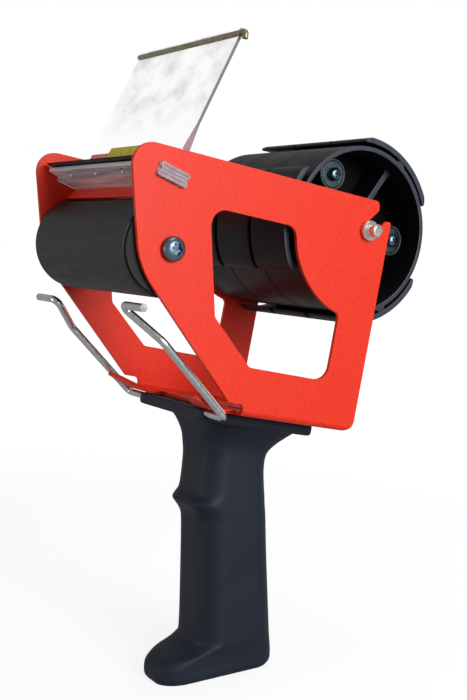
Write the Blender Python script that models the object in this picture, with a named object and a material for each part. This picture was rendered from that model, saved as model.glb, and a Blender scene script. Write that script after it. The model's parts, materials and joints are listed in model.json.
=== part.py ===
# Hand tape dispenser for wide parcel tape: folded steel frame on a moulded grip, a core drum
# with spring fingers, a press roller, a toothed cutter and a lift-up flap.
# Metres, +Z up, the front of the dispenser looks along -Y, and the grip stands on the floor at Z = 0.
import math

import bmesh
import bpy
from mathutils import Matrix, Vector

MM = 0.001

# Tape and core that the dispenser is made for
TAPE_WIDTH = 75.0 * MM
CORE_BORE = 76.2 * MM

# Clearances
SEAT_GAP = 0.3 * MM
OVERRUN = 1.0 * MM
RUNNING_GAP = 0.3 * MM
TAPE_SIDE_PLAY = 3.0 * MM
SIDE_RUNNING_GAP = 2.5 * MM
WELD_INSET = 0.03 * MM

# Sheet frame
PLATE_THICKNESS = 1.5 * MM
BEND_OUTER_RADIUS = 2.5 * MM
FRAME_TILT = math.radians(12.9)
PLATE_LENGTH = 123.5 * MM
PLATE_HEIGHT = 94.3 * MM
INNER_HALF = TAPE_WIDTH / 2 + TAPE_SIDE_PLAY
OUTER_HALF = INNER_HALF + PLATE_THICKNESS
REAR_EDGE_SHARE = 0.2964
FRONT_TOP_SHARES = (-0.7036, 0.9608)
FRONT_TOP_RADIUS = 8.0 * MM
FRONT_KNEE_SHARES = (-0.6024, 0.5016)
FRONT_KNEE_RADIUS = 30.0 * MM
RELIEF_FRONT_SHARE = -0.2113
RELIEF_END_SHARE = -0.1547
RELIEF_HEIGHT = 4.7 * MM
RELIEF_RADIUS = 2.3 * MM
REAR_CORNER_RADIUS = 5.0 * MM
TOP_REAR_SHARES = (0.2324, 1.0)
TOP_REAR_RADIUS = 4.0 * MM
SMALL_RADIUS = 1.0 * MM
DIMPLE_LENGTH_SHARES = (-0.0696, 0.1725)
DIMPLE_WIDTH = 4.0 * MM
DIMPLE_HEIGHT = 3.2 * MM
DIMPLE_DEPTH = 0.9 * MM

# Window of the side plates
WINDOW_BOTTOM_SHARE = 0.2
WINDOW_REAR_SHARE = 0.1498
WINDOW_ARC_RADIUS = 36.0 * MM
WINDOW_TOP_LEFT_SHARES = (-0.4057, 0.7869)
WINDOW_TOP_RIGHT_SHARE = 0.7996
WINDOW_LEFT_SHARES = (-0.3182, 0.3712)
WINDOW_FRONT_LOW_SHARE = -0.1595
WINDOW_TOP_LEFT_RADIUS = 6.0 * MM
WINDOW_TOP_RIGHT_RADIUS = 5.0 * MM
WINDOW_REAR_RADIUS = 6.0 * MM
WINDOW_SMALL_RADIUS = 3.0 * MM
WINDOW_ARC_START = math.radians(203.0)
WINDOW_ARC_END = math.radians(253.0)
WINDOW_ARC_STEPS = 10

# Drum axle in its open slots
AXLE_LENGTH_SHARE = 0.204
AXLE_HEIGHT_SHARE = 0.86532
AXLE_NECK_RADIUS = 2.55 * MM
AXLE_RADIUS = 4.05 * MM
AXLE_COLLAR = 2.0 * MM
AXLE_PIN_LENGTH = 6.0 * MM
SLOT_ANGLE = math.radians(48.9)
SLOT_LOWER_LENGTH = 10.0 * MM
SLOT_UPPER_LENGTH = 9.4 * MM

# Front tabs of the floor web
TAB_BEND_SHARE = -0.219
TAB_SIDE_GAP = 4.5 * MM
TAB_OUTER = INNER_HALF - TAB_SIDE_GAP
TAB_ROOT_WIDTH = 13.5 * MM
TAB_TIP_WIDTH = 5.8 * MM
TAB_LENGTH = 10.6 * MM
TAB_ANGLE = math.radians(36.0)

# Blade holder and cutter
HOLDER_SHARES = (-0.5522, 0.8643)
HOLDER_TILT = math.radians(-10.6)
HOLDER_THICKNESS = 5.2 * MM
HOLDER_REAR = 7.0 * MM
HOLDER_FRONT = 11.7 * MM
HOLDER_NOSE_THICKNESS = 2.4 * MM
HOLDER_KNEE = 1.5 * MM
HOLDER_SIDE_GAP = 1.7 * MM
HOLDER_HALF = INNER_HALF - HOLDER_SIDE_GAP
HOLDER_STEP_DEPTH = 0.6 * MM
HOLDER_STEP = 3.7 * MM
HOLDER_TAB_LENGTH = 12.4 * MM
HOLDER_TAB_OVERHANG = 1.8 * MM
HOLDER_TAB_GROOVE = 0.8 * MM
HOLDER_TAB_NOTCH = 2.0 * MM
EAR_THICKNESS = 3.4 * MM
EAR_RADIUS = 3.2 * MM
EAR_RUNNING_GAP = 0.3 * MM
BLADE_THICKNESS = 0.6 * MM
BLADE_OVERHANG = 3.0 * MM
TOOTH_PITCH = 2.3 * MM
TOOTH_HEIGHT = 1.3 * MM
PIN_RADIUS = 1.2 * MM
PIN_HEAD_RADIUS = 2.1 * MM
PIN_HEAD_HEIGHT = 0.5 * MM
PIN_TAIL = 0.9 * MM
PIN_SETBACK = 2.9 * MM
PIN_SPACING = 22.0 * MM
PIN_COUNT = 3

# Flap over the cutter
HINGE_FORWARD = 3.1 * MM
HINGE_RISE = 3.6 * MM
HINGE_ROD_RADIUS = 1.0 * MM
FLAP_BARREL_RADIUS = 2.3 * MM
FLAP_ANGLE = math.radians(73.4)
FLAP_LENGTH = 55.0 * MM
FLAP_ROOT = 5.0 * MM
FLAP_WEDGE = 28.0 * MM
FLAP_ROOT_THICKNESS = 3.2 * MM
FLAP_THICKNESS = 1.2 * MM
FLAP_BEAD_RADIUS = 2.0 * MM
FLAP_ROD_RADIUS = 1.1 * MM
FLAP_ROD_OVERHANG = 1.6 * MM
FLAP_HOOK_DROP = 2.6 * MM
LABEL_THICKNESS = 0.3 * MM
LABEL_START = 3.0 * MM
LABEL_HEIGHT = 4.7 * MM
LABEL_YELLOW_END = 12.0 * MM

# Tape guide web
GUIDE_THICKNESS = 1.0 * MM
GUIDE_REAR = 12.0 * MM
GUIDE_CREST = 2.0 * MM
GUIDE_TIP_ANGLE = math.radians(112.0)
GUIDE_ROLLER_GAP = 0.7 * MM
GUIDE_EAR_LENGTH = 4.0 * MM
GUIDE_EAR_RISE = 7.0 * MM

# Press roller
ROLLER_RADIUS = 18.0 * MM
ROLLER_BEHIND_HOLDER = 5.5 * MM
ROLLER_TOP_BELOW_HOLDER = 7.7 * MM
ROLLER_SLEEVE_WALL = 3.7 * MM
ROLLER_CORE_WALL = 2.0 * MM
ROLLER_CORE_SETBACK = 1.5 * MM
ROLLER_AXLE_RADIUS = 4.0 * MM
ROLLER_CAP_FLANGE = 1.2 * MM
ROLLER_CAP_LIP = 1.0 * MM
ROLLER_CAP_PLUG = 12.0 * MM
ROLLER_CAP_BOSS_WALL = 1.9 * MM
SCREW_RADIUS = 2.4 * MM
SCREW_HOLE_RADIUS = 2.7 * MM
SCREW_LENGTH = 12.0 * MM
SCREW_HEAD_RADIUS = 4.6 * MM
SCREW_HEAD_HEIGHT = 3.6 * MM
SCREW_RECESS_RADIUS = 1.9 * MM
SCREW_RECESS_DEPTH = 1.8 * MM

# Drum
FINGER_STANDOFF = 4.1 * MM
DRUM_BARREL_RADIUS = CORE_BORE / 2 - FINGER_STANDOFF
DRUM_WALL = 1.8 * MM
DRUM_HALF = INNER_HALF - SIDE_RUNNING_GAP
DRUM_SECTION_GAP = 0.3 * MM
DRUM_SECTIONS = 3
FINGER_THICKNESS = 2.0 * MM
FINGER_HALF_WIDTH = 10.85 * MM
FINGER_SPREAD = math.radians(34.0)
FINGER_CENTRE = math.radians(63.4)
FINGER_COUNT = 3
FINGER_RIB_WIDTH = 3.4 * MM
FINGER_RAMP = 1.2 * MM
HUB_RADIUS = 8.6 * MM
HUB_END = 8.0 * MM
HUB_DISC_THICKNESS = 2.4 * MM
HUB_DISC_SETBACK = 12.0 * MM
SPOKE_THICKNESS = 2.0 * MM
SPOKE_CENTRE = math.radians(61.9)
DRUM_SCREW_CIRCLE = 24.0 * MM
DRUM_SCREW_ANGLE = math.radians(121.9)
DRUM_SCREW_RADIUS = 1.9 * MM
DRUM_SCREW_HEAD_RADIUS = 2.8 * MM
DRUM_SCREW_HEAD_HEIGHT = 2.6 * MM
DRUM_BOSS_RADIUS = 4.6 * MM
DRUM_BOSS_SETBACK = 10.2 * MM
WASHER_RADIUS = 5.3 * MM
WASHER_THICKNESS = 0.9 * MM
NUT_RADIUS = 3.8 * MM
NUT_THICKNESS = 3.0 * MM

# Friction brake on the axle
BRAKE_WASHER_RADIUS = 8.0 * MM
BRAKE_WASHER_THICKNESS = 0.8 * MM
BRAKE_WIRE_RADIUS = 0.55 * MM
BRAKE_COIL_RADIUS = 5.6 * MM
BRAKE_COIL_LENGTH = 3.6 * MM
BRAKE_COIL_TURNS = 1.75
BRAKE_COIL_POINTS = 20
BRAKE_NUT_RADIUS = 7.2 * MM
BRAKE_NUT_THICKNESS = 2.6 * MM

# Wire bail
BAIL_RADIUS = 1.5 * MM
BAIL_LENGTH_SHARE = -0.195
BAIL_ARM_GAP = 0.6 * MM
BAIL_BEND_RADIUS = 2.6 * MM
BAIL_ELBOW_FROM_ROLLER = (5.6 * MM, -33.0 * MM)
BAIL_TIP_FROM_ROLLER = (-8.5 * MM, -22.5 * MM)
BAIL_TIP_INSET = 11.4 * MM
BAIL_TIP_REACH = 6.6 * MM

# Grip
GRIP_HEIGHT = 112.5 * MM
GRIP_HALF = 15.0 * MM
GRIP_DEPTH = 36.0 * MM
GRIP_CORNER_RADIUS = 10.0 * MM
GRIP_WALL = 3.0 * MM
FLANGE_HALF = 31.0 * MM
FLANGE_THICKNESS = 4.2 * MM
FLANGE_FRONT = 28.2 * MM
FLANGE_REAR = 25.5 * MM
FLANGE_CORNER_RADIUS = 9.0 * MM
FLANGE_EDGE_ROUND = 1.0 * MM
GRIP_SCREW_HALF = 19.0 * MM
GRIP_SCREW_SPACING = 20.0 * MM
GRIP_SCREW_CENTRE = 3.0 * MM
GRIP_SCREW_RADIUS = 1.9 * MM
GRIP_SCREW_LENGTH = 5.5 * MM
GRIP_SCREW_HEAD_RADIUS = 3.6 * MM
GRIP_SCREW_HEAD_HEIGHT = 2.2 * MM
GRIP_BOSS_RADIUS = 4.2 * MM
GRIP_BOSS_LENGTH = 6.6 * MM

# Sections of the grip from the foot up. Front and rear reach as shares of the grip's depth, their
# heights as shares of its height, then half width share, corner share and width share of the toe.
GRIP_SECTION_SHARES = [
    (-0.965, 0.0, 0.46, 0.0, 0.88, 0.95, 0.7),
    (-1.014, 0.016, 0.512, 0.016, 1.0, 1.0, 0.7),
    (-1.014, 0.036, 0.525, 0.05, 1.0, 1.0, 0.7),
    (-0.98, 0.046, 0.522, 0.06, 1.0, 1.0, 0.7),
    (-0.858, 0.066, 0.517, 0.08, 1.0, 1.0, 0.76),
    (-0.694, 0.092, 0.511, 0.102, 1.0, 1.0, 0.86),
    (-0.558, 0.122, 0.508, 0.129, 1.0, 1.0, 1.0),
    (-0.503, 0.157, 0.503, 0.164, 1.0, 1.0, 1.0),
    (-0.469, 0.422, 0.469, 0.422, 1.0, 1.0, 1.0),
    (-0.458, 0.571, 0.456, 0.571, 1.0, 1.0, 1.0),
    (-0.478, 0.612, 0.45, 0.606, 1.0, 1.0, 1.0),
    (-0.536, 0.643, 0.444, 0.631, 1.0, 1.0, 1.0),
    (-0.575, 0.663, 0.442, 0.658, 1.0, 1.0, 1.0),
    (-0.54, 0.678, 0.438, 0.673, 1.0, 1.0, 1.0),
    (-0.475, 0.708, 0.433, 0.702, 1.0, 1.0, 1.0),
    (-0.425, 0.82, 0.431, 0.764, 1.0, 1.0, 1.0),
    (-0.428, 0.871, 0.472, 0.817, 1.0, 1.0, 1.0),
    (-0.431, 0.916, 0.583, 0.85, 1.07, 1.0, 1.0),
    (-0.458, 0.968, 0.68, 0.878, 1.3, 0.95, 1.0),
    (-0.53, 1.004, 0.7, 0.912, 1.55, 0.9, 1.0),
    (-0.53, 1.02, 0.7, 0.926, 1.55, 0.9, 1.0),
]
GRIP_CAVITY_SHARES = [
    (-0.38, 0.12, 0.39, 0.12),
    (-0.35, 0.5, 0.35, 0.5),
    (-0.32, 0.85, 0.32, 0.8),
    (-0.32, 1.15, 0.32, 1.1),
]

ROUND_STEPS = 36
SMALL_ROUND_STEPS = 16
CORNER_STEPS = 4


def along(length_share, height):
    """Point of the tilted side plate: a share of its length, and a height over the web's underside."""
    return (length_share * PLATE_LENGTH, height)


def plate_point(shares):
    return (shares[0] * PLATE_LENGTH, shares[1] * PLATE_HEIGHT)


def polar(centre, radius, angle):
    return (centre[0] + radius * math.cos(angle), centre[1] + radius * math.sin(angle))


def turned(origin, angle, forward, up):
    """Point at a distance along and across a direction that starts at origin."""
    c, s = math.cos(angle), math.sin(angle)
    return (origin[0] + forward * c - up * s, origin[1] + forward * s + up * c)


def rounded(corners, steps=CORNER_STEPS):
    """Outline with a fillet at each corner given as (u, w, radius)."""
    outline = []
    count = len(corners)
    for i, (u, w, radius) in enumerate(corners):
        here = Vector((u, w))
        before = Vector(corners[i - 1][:2]) - here
        after = Vector(corners[(i + 1) % count][:2]) - here
        if radius <= 0:
            outline.append((u, w))
            continue
        half = before.angle(after) / 2
        reach = min(radius / math.tan(half), before.length * 0.49, after.length * 0.49)
        radius = reach * math.tan(half)
        middle = (before.normalized() + after.normalized()).normalized()
        centre = here + middle * (radius / math.sin(half))
        start = here + before.normalized() * reach - centre
        end = here + after.normalized() * reach - centre
        sweep = start.angle_signed(end)
        first = math.atan2(start.y, start.x)
        for k in range(steps + 1):
            outline.append(polar(centre, radius, first - sweep * k / steps))
    return outline


def arc(centre, radius, start, end, steps):
    return [polar(centre, radius, start + (end - start) * k / steps) for k in range(steps + 1)]


def circle(centre, radius, steps=SMALL_ROUND_STEPS):
    return [polar(centre, radius, 2 * math.pi * k / steps) for k in range(steps)]


def mesh_object(name, bm):
    bmesh.ops.recalc_face_normals(bm, faces=bm.faces)
    mesh = bpy.data.meshes.new(name)
    bm.to_mesh(mesh)
    bm.free()
    piece = bpy.data.objects.new(name, mesh)
    bpy.context.scene.collection.objects.link(piece)
    return piece


def prism(name, outline, x_low, x_high):
    """Closed solid of a (Y, Z) outline between two X planes."""
    bm = bmesh.new()
    low = [bm.verts.new((x_low, u, w)) for u, w in outline]
    high = [bm.verts.new((x_high, u, w)) for u, w in outline]
    bm.faces.new(low)
    bm.faces.new(high)
    for i in range(len(outline)):
        k = (i + 1) % len(outline)
        bm.faces.new((low[i], low[k], high[k], high[i]))
    return mesh_object(name, bm)


def loft(name, rings):
    """Closed solid through rings of as many points each."""
    bm = bmesh.new()
    loops = [[bm.verts.new(point) for point in ring] for ring in rings]
    bm.faces.new(loops[0])
    bm.faces.new(loops[-1])
    for lower, upper in zip(loops, loops[1:]):
        for i in range(len(lower)):
            k = (i + 1) % len(lower)
            bm.faces.new((lower[i], lower[k], upper[k], upper[i]))
    return mesh_object(name, bm)


def turned_solid(name, profile, centre, steps=ROUND_STEPS):
    """Solid turned about an X axis through centre; profile lists (x, radius) from end to end.
    A profile that comes back to its start makes a ring with a bore."""
    bm = bmesh.new()
    closed = profile[0] == profile[-1]
    stations = profile[:-1] if closed else profile
    loops = []
    for x, radius in stations:
        loops.append([bm.verts.new((x, *polar(centre, radius, 2 * math.pi * k / steps)))
                      for k in range(steps)])
    pairs = list(zip(loops, loops[1:] + loops[:1])) if closed else list(zip(loops, loops[1:]))
    for lower, upper in pairs:
        for i in range(steps):
            k = (i + 1) % steps
            bm.faces.new((lower[i], lower[k], upper[k], upper[i]))
    if not closed:
        bm.faces.new(loops[0])
        bm.faces.new(loops[-1])
    return mesh_object(name, bm)


def ring(name, x_low, x_high, outer, inner, centre, steps=ROUND_STEPS):
    profile = [(x_low, inner), (x_low, outer), (x_high, outer), (x_high, inner), (x_low, inner)]
    return turned_solid(name, profile, centre, steps)


def rod(name, x_low, x_high, radius, centre, steps=SMALL_ROUND_STEPS):
    return turned_solid(name, [(x_low, radius), (x_high, radius)], centre, steps)


def upright_rod(name, centre, z_low, z_high, radius, steps=SMALL_ROUND_STEPS):
    rings = []
    for z in (z_low, z_high):
        rings.append([(x, y, z) for x, y in circle(centre, radius, steps)])
    return loft(name, rings)


def tube(name, points, radius, sides=3):
    """Wire along points: a curve with a round bevel and filled ends."""
    curve = bpy.data.curves.new(name, "CURVE")
    curve.dimensions = "3D"
    curve.bevel_depth = radius
    curve.bevel_resolution = sides
    curve.use_fill_caps = True
    spline = curve.splines.new("POLY")
    spline.points.add(len(points) - 1)
    for target, point in zip(spline.points, points):
        target.co = (*point, 1)
    guide = bpy.data.objects.new(name, curve)
    bpy.context.scene.collection.objects.link(guide)
    bpy.context.view_layer.update()
    mesh = bpy.data.meshes.new_from_object(guide.evaluated_get(bpy.context.evaluated_depsgraph_get()))
    bpy.data.objects.remove(guide)
    bm = bmesh.new()
    bm.from_mesh(mesh)
    bmesh.ops.remove_doubles(bm, verts=bm.verts, dist=radius / 100)
    return mesh_object(name, bm)


def combine(base, tools, operation):
    """Boolean of base with each tool; the tools are used up."""
    for tool in tools:
        modifier = base.modifiers.new(operation, "BOOLEAN")
        modifier.operation = operation
        modifier.solver = "EXACT"
        modifier.object = tool
        bpy.context.view_layer.update()
        depsgraph = bpy.context.evaluated_depsgraph_get()
        result = bpy.data.meshes.new_from_object(base.evaluated_get(depsgraph))
        base.modifiers.clear()
        base.data = result
        bpy.data.objects.remove(tool)
    return base


def cut(base, *tools):
    return combine(base, tools, "DIFFERENCE")


def join(base, *tools):
    return combine(base, tools, "UNION")


def axle_centre():
    return plate_point((AXLE_LENGTH_SHARE, AXLE_HEIGHT_SHARE))


def holder_centre():
    return plate_point(HOLDER_SHARES)


def holder_point(forward, up):
    return turned(holder_centre(), HOLDER_TILT, forward, up)


def roller_centre():
    u, w = holder_centre()
    return (u + ROLLER_BEHIND_HOLDER, w - ROLLER_RADIUS - ROLLER_TOP_BELOW_HOLDER)


def hinge_centre():
    return holder_point(HINGE_FORWARD, HOLDER_THICKNESS / 2 + HINGE_RISE)


def bail_centre():
    return along(BAIL_LENGTH_SHARE, -BAIL_RADIUS - SEAT_GAP - BAIL_RADIUS / 10)


def side_outline():
    """Outline of both side plates seen from the side, in the frame's tilted coordinates."""
    front = plate_point(FRONT_TOP_SHARES)
    knee = plate_point(FRONT_KNEE_SHARES)
    rear = REAR_EDGE_SHARE * PLATE_LENGTH
    axle = axle_centre()
    half_slot = AXLE_NECK_RADIUS + SEAT_GAP
    lower_lip = turned(axle, SLOT_ANGLE, SLOT_LOWER_LENGTH, -half_slot)
    upper_lip = turned(axle, SLOT_ANGLE, SLOT_UPPER_LENGTH, half_slot)
    relief_end = RELIEF_END_SHARE * PLATE_LENGTH
    top_rear = plate_point(TOP_REAR_SHARES)
    lines = rounded([(*top_rear, 0), (*front, FRONT_TOP_RADIUS), (*knee, FRONT_KNEE_RADIUS),
                     (*along(RELIEF_FRONT_SHARE, RELIEF_HEIGHT), SMALL_RADIUS),
                     (relief_end, RELIEF_HEIGHT, RELIEF_RADIUS), (relief_end, -OVERRUN, 0),
                     (rear - REAR_CORNER_RADIUS, -OVERRUN, 0)])[1:]
    lines += arc((rear - REAR_CORNER_RADIUS, REAR_CORNER_RADIUS), REAR_CORNER_RADIUS,
                 -math.radians(82), 0, CORNER_STEPS)
    hook = rounded([(rear, REAR_CORNER_RADIUS, 0), (rear, lower_lip[1], SMALL_RADIUS),
                    (*lower_lip, SMALL_RADIUS), (*turned(axle, SLOT_ANGLE, 0, -half_slot), 0)])
    lines += hook[1:]
    slot_end = arc(axle, half_slot, SLOT_ANGLE - math.pi / 2, SLOT_ANGLE - 3 * math.pi / 2, 2 * CORNER_STEPS)
    lines += slot_end[1:-1]
    nose = rounded([(*turned(axle, SLOT_ANGLE, 0, half_slot), 0), (*upper_lip, SMALL_RADIUS),
                    (*top_rear, TOP_REAR_RADIUS), (*front, 0)])
    return lines + nose[:-1]


def window_outline():
    axle = axle_centre()
    rear = WINDOW_REAR_SHARE * PLATE_LENGTH
    low = WINDOW_BOTTOM_SHARE * PLATE_HEIGHT
    top_right = WINDOW_TOP_RIGHT_SHARE * PLATE_HEIGHT
    reach = math.sqrt(WINDOW_ARC_RADIUS ** 2 - (top_right - axle[1]) ** 2)
    drop = math.sqrt(WINDOW_ARC_RADIUS ** 2 - (axle[0] - rear) ** 2)
    bow = arc(axle, WINDOW_ARC_RADIUS, WINDOW_ARC_START, WINDOW_ARC_END, WINDOW_ARC_STEPS)
    corners = [(*plate_point(WINDOW_LEFT_SHARES), WINDOW_SMALL_RADIUS),
               (*plate_point(WINDOW_TOP_LEFT_SHARES), WINDOW_TOP_LEFT_RADIUS),
               (axle[0] - reach, top_right, WINDOW_TOP_RIGHT_RADIUS)]
    corners += [(*point, 0) for point in bow]
    corners += [(rear, axle[1] - drop, WINDOW_SMALL_RADIUS), (rear, low, WINDOW_REAR_RADIUS),
                (WINDOW_FRONT_LOW_SHARE * PLATE_LENGTH, low, WINDOW_SMALL_RADIUS)]
    return rounded(corners)


def tab_slot_outline():
    half_length = HOLDER_TAB_LENGTH / 2 + SEAT_GAP
    half_height = HOLDER_THICKNESS / 2 + SEAT_GAP
    corners = [(-half_length, -half_height), (half_length, -half_height),
               (half_length, half_height), (-half_length, half_height)]
    return rounded([(*holder_point(*corner), SMALL_RADIUS) for corner in corners])


def channel_profile():
    """Cross-section of the folded sheet as (x, w), open at the top."""
    top = PLATE_HEIGHT * 1.2
    inner_radius = BEND_OUTER_RADIUS - PLATE_THICKNESS
    outer = rounded([(-OUTER_HALF, top, 0), (-OUTER_HALF, 0, BEND_OUTER_RADIUS),
                     (OUTER_HALF, 0, BEND_OUTER_RADIUS), (OUTER_HALF, top, 0)])
    inner = rounded([(INNER_HALF, top, 0), (INNER_HALF, PLATE_THICKNESS, inner_radius),
                     (-INNER_HALF, PLATE_THICKNESS, inner_radius), (-INNER_HALF, top, 0)])
    return outer + inner


def front_tab(side):
    """Tab of the floor web, bent up at the front and tapered on its inner edge."""
    skin = WELD_INSET
    thick = PLATE_THICKNESS - 2 * skin
    root = (RELIEF_END_SHARE * PLATE_LENGTH + PLATE_THICKNESS, skin)
    bend = (TAB_BEND_SHARE * PLATE_LENGTH, skin)
    tip = turned(bend, math.pi - TAB_ANGLE, TAB_LENGTH, 0)
    blend = turned(bend, 0, PLATE_THICKNESS, 0)
    past = turned(bend, math.pi - TAB_ANGLE, PLATE_THICKNESS, 0)
    stations = [(root, 0, 0), (blend, 0, 0), (past, TAB_ANGLE, PLATE_THICKNESS / TAB_LENGTH),
                (tip, TAB_ANGLE, 1)]
    rings = []
    for point, angle, share in stations:
        inner = TAB_OUTER - TAB_ROOT_WIDTH + (TAB_ROOT_WIDTH - TAB_TIP_WIDTH) * share
        above = (point[0] + thick * math.sin(angle), point[1] + thick * math.cos(angle))
        rings.append([(side * inner, *point), (side * TAB_OUTER, *point),
                      (side * TAB_OUTER, *above), (side * inner, *above)])
    return loft("front_tab", rings)


def grip_screw_places():
    places = []
    for side in (-1, 1):
        for row in (-0.5, 0.5):
            places.append((side * GRIP_SCREW_HALF, GRIP_SCREW_CENTRE + row * GRIP_SCREW_SPACING))
    return places


def make_sheet_frame():
    reach = PLATE_LENGTH
    rings = [[(x, u, w) for x, w in channel_profile()] for u in (-reach, reach)]
    frame = loft("sheet_frame", rings)
    wide = OUTER_HALF + OVERRUN
    combine(frame, [prism("side", side_outline(), -wide, wide)], "INTERSECT")
    cut(frame, prism("window", window_outline(), -wide, wide),
        prism("tab_slots", tab_slot_outline(), -wide, wide),
        rod("screw_holes", -wide, wide, SCREW_HOLE_RADIUS, roller_centre()))
    for x, u in grip_screw_places():
        cut(frame, upright_rod("hole", (x, u), -OVERRUN, PLATE_THICKNESS + OVERRUN,
                               GRIP_SCREW_RADIUS + RUNNING_GAP))
    join(frame, front_tab(-1), front_tab(1))
    for share in DIMPLE_LENGTH_SHARES:
        for side in (-1, 1):
            cut(frame, dimple(side, share * PLATE_LENGTH))
    return frame


def dimple(side, u):
    """Shallow wedge pressed into the fold from outside, as a stiffening dimple."""
    half = DIMPLE_WIDTH / 2
    outer = side * (OUTER_HALF + OVERRUN)
    inner = side * (OUTER_HALF - DIMPLE_DEPTH)
    low = -OVERRUN
    rings = [[(outer, u - half, low), (outer, u + half, low), (outer, u, DIMPLE_HEIGHT)],
             [(inner, u - half / 2, low), (inner, u + half / 2, low), (inner, u, DIMPLE_HEIGHT / 2)]]
    return loft("dimple", rings)


def make_tape_guide():
    """Cross web over the roller, with an ear at each end to weld to the plates."""
    roller = roller_centre()
    top = -HOLDER_THICKNESS / 2 - SEAT_GAP
    outer = ROLLER_RADIUS + GUIDE_ROLLER_GAP + GUIDE_THICKNESS
    tip_high = polar(roller, outer, GUIDE_TIP_ANGLE)
    tip_low = polar(roller, outer - GUIDE_THICKNESS, GUIDE_TIP_ANGLE)
    crest = holder_point(GUIDE_CREST, top)
    crest_low = holder_point(GUIDE_CREST + GUIDE_THICKNESS / 2, top - GUIDE_THICKNESS)
    rear = holder_point(GUIDE_REAR, top)
    rear_low = holder_point(GUIDE_REAR, top - GUIDE_THICKNESS)
    half = INNER_HALF - SEAT_GAP
    guide = prism("tape_guide", [tip_high, crest, rear, rear_low, crest_low, tip_low], -half, half)
    ear_front = GUIDE_REAR - GUIDE_EAR_LENGTH
    ear_rear = GUIDE_REAR - WELD_INSET
    ear_low = top - GUIDE_THICKNESS / 2
    ear_high = top + GUIDE_EAR_RISE
    ears = [holder_point(*p) for p in ((ear_front, ear_low), (ear_rear, ear_low),
                                       (ear_rear, ear_high), (ear_front, ear_high))]
    for side in (-1, 1):
        inner = side * (half - GUIDE_THICKNESS)
        outer_face = side * (half - WELD_INSET)
        join(guide, prism("ear", ears, min(inner, outer_face), max(inner, outer_face)))
    return guide


def pin_places():
    return [(k - (PIN_COUNT - 1) / 2) * PIN_SPACING for k in range(PIN_COUNT)]


def pin_forward():
    return -HOLDER_FRONT + PIN_SETBACK


def cross_rod(name, x, forward, up_low, up_high, radius, steps=16):
    """Short rod square to the holder's faces."""
    rings = []
    for up in (up_low, up_high):
        points = [(x + radius * math.cos(a), *holder_point(forward + radius * math.sin(a), up))
                  for a in (2 * math.pi * k / steps for k in range(steps))]
        rings.append(points)
    return loft(name, rings)


def make_blade_holder():
    half = HOLDER_THICKNESS / 2
    seat = half - HOLDER_STEP_DEPTH
    nose = seat - HOLDER_NOSE_THICKNESS
    profile = [(-HOLDER_FRONT, nose), (HOLDER_KNEE, -half), (HOLDER_REAR, -half), (HOLDER_REAR, half),
               (-HOLDER_STEP, half), (-HOLDER_STEP, seat), (-HOLDER_FRONT, seat)]
    holder = prism("blade_holder", [holder_point(*p) for p in profile], -HOLDER_HALF, HOLDER_HALF)
    tab_half = HOLDER_TAB_LENGTH / 2
    skin = half - WELD_INSET
    tab = [(-tab_half, -skin), (tab_half, -skin), (tab_half, skin), (-tab_half, skin)]
    tab_end = OUTER_HALF + HOLDER_TAB_OVERHANG
    thin = HOLDER_TAB_GROOVE / 2
    slit = [(-tab_half - OVERRUN, -thin), (-tab_half + HOLDER_TAB_NOTCH, -thin),
            (-tab_half + HOLDER_TAB_NOTCH, thin), (-tab_half - OVERRUN, thin)]
    hinge = hinge_centre()
    foot = HINGE_FORWARD + EAR_RADIUS
    ear = [holder_point(HINGE_FORWARD - EAR_RADIUS, half - WELD_INSET), holder_point(foot, half - WELD_INSET)]
    ear += arc(hinge, EAR_RADIUS, HOLDER_TILT, HOLDER_TILT + math.pi, SMALL_ROUND_STEPS // 2)
    for side in (-1, 1):
        start = side * (HOLDER_HALF - WELD_INSET)
        end = side * tab_end
        join(holder, prism("tab", [holder_point(*p) for p in tab], min(start, end), max(start, end)))
        groove_start = side * (OUTER_HALF + SEAT_GAP)
        groove_end = side * (tab_end + OVERRUN)
        cut(holder, prism("notch", [holder_point(*p) for p in slit],
                          min(groove_start, groove_end), max(groove_start, groove_end)))
        ear_outer = side * (HOLDER_HALF - WELD_INSET)
        ear_inner = side * (HOLDER_HALF - EAR_THICKNESS)
        join(holder, prism("ear", ear, min(ear_outer, ear_inner), max(ear_outer, ear_inner)))
    cut(holder, rod("bore", -INNER_HALF, INNER_HALF, HINGE_ROD_RADIUS + RUNNING_GAP, hinge))
    for x in pin_places():
        cut(holder, cross_rod("pin_hole", x, pin_forward(), -HOLDER_THICKNESS, HOLDER_THICKNESS,
                              PIN_RADIUS + RUNNING_GAP))
    return holder


def make_cutter_blade():
    """Toothed strip on the holder's seat, its teeth over the front edge."""
    base = HOLDER_THICKNESS / 2 - HOLDER_STEP_DEPTH + SEAT_GAP
    half = HOLDER_HALF - SEAT_GAP
    teeth = int(2 * half / TOOTH_PITCH)
    tip = -HOLDER_FRONT - BLADE_OVERHANG
    outline = [(half, -HOLDER_STEP - SEAT_GAP), (-half, -HOLDER_STEP - SEAT_GAP)]
    start = -teeth * TOOTH_PITCH / 2
    outline.append((-half, tip + TOOTH_HEIGHT))
    for k in range(teeth):
        outline.append((start + k * TOOTH_PITCH, tip + TOOTH_HEIGHT))
        outline.append((start + (k + 0.5) * TOOTH_PITCH, tip))
    outline.append((start + teeth * TOOTH_PITCH, tip + TOOTH_HEIGHT))
    outline.append((half, tip + TOOTH_HEIGHT))
    rings = []
    for up in (base, base + BLADE_THICKNESS):
        rings.append([(x, *holder_point(forward, up)) for x, forward in outline])
    blade = loft("cutter_blade", rings)
    for x in pin_places():
        cut(blade, cross_rod("pin_hole", x, pin_forward(), 0, HOLDER_THICKNESS, PIN_RADIUS + RUNNING_GAP))
    return blade


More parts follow.
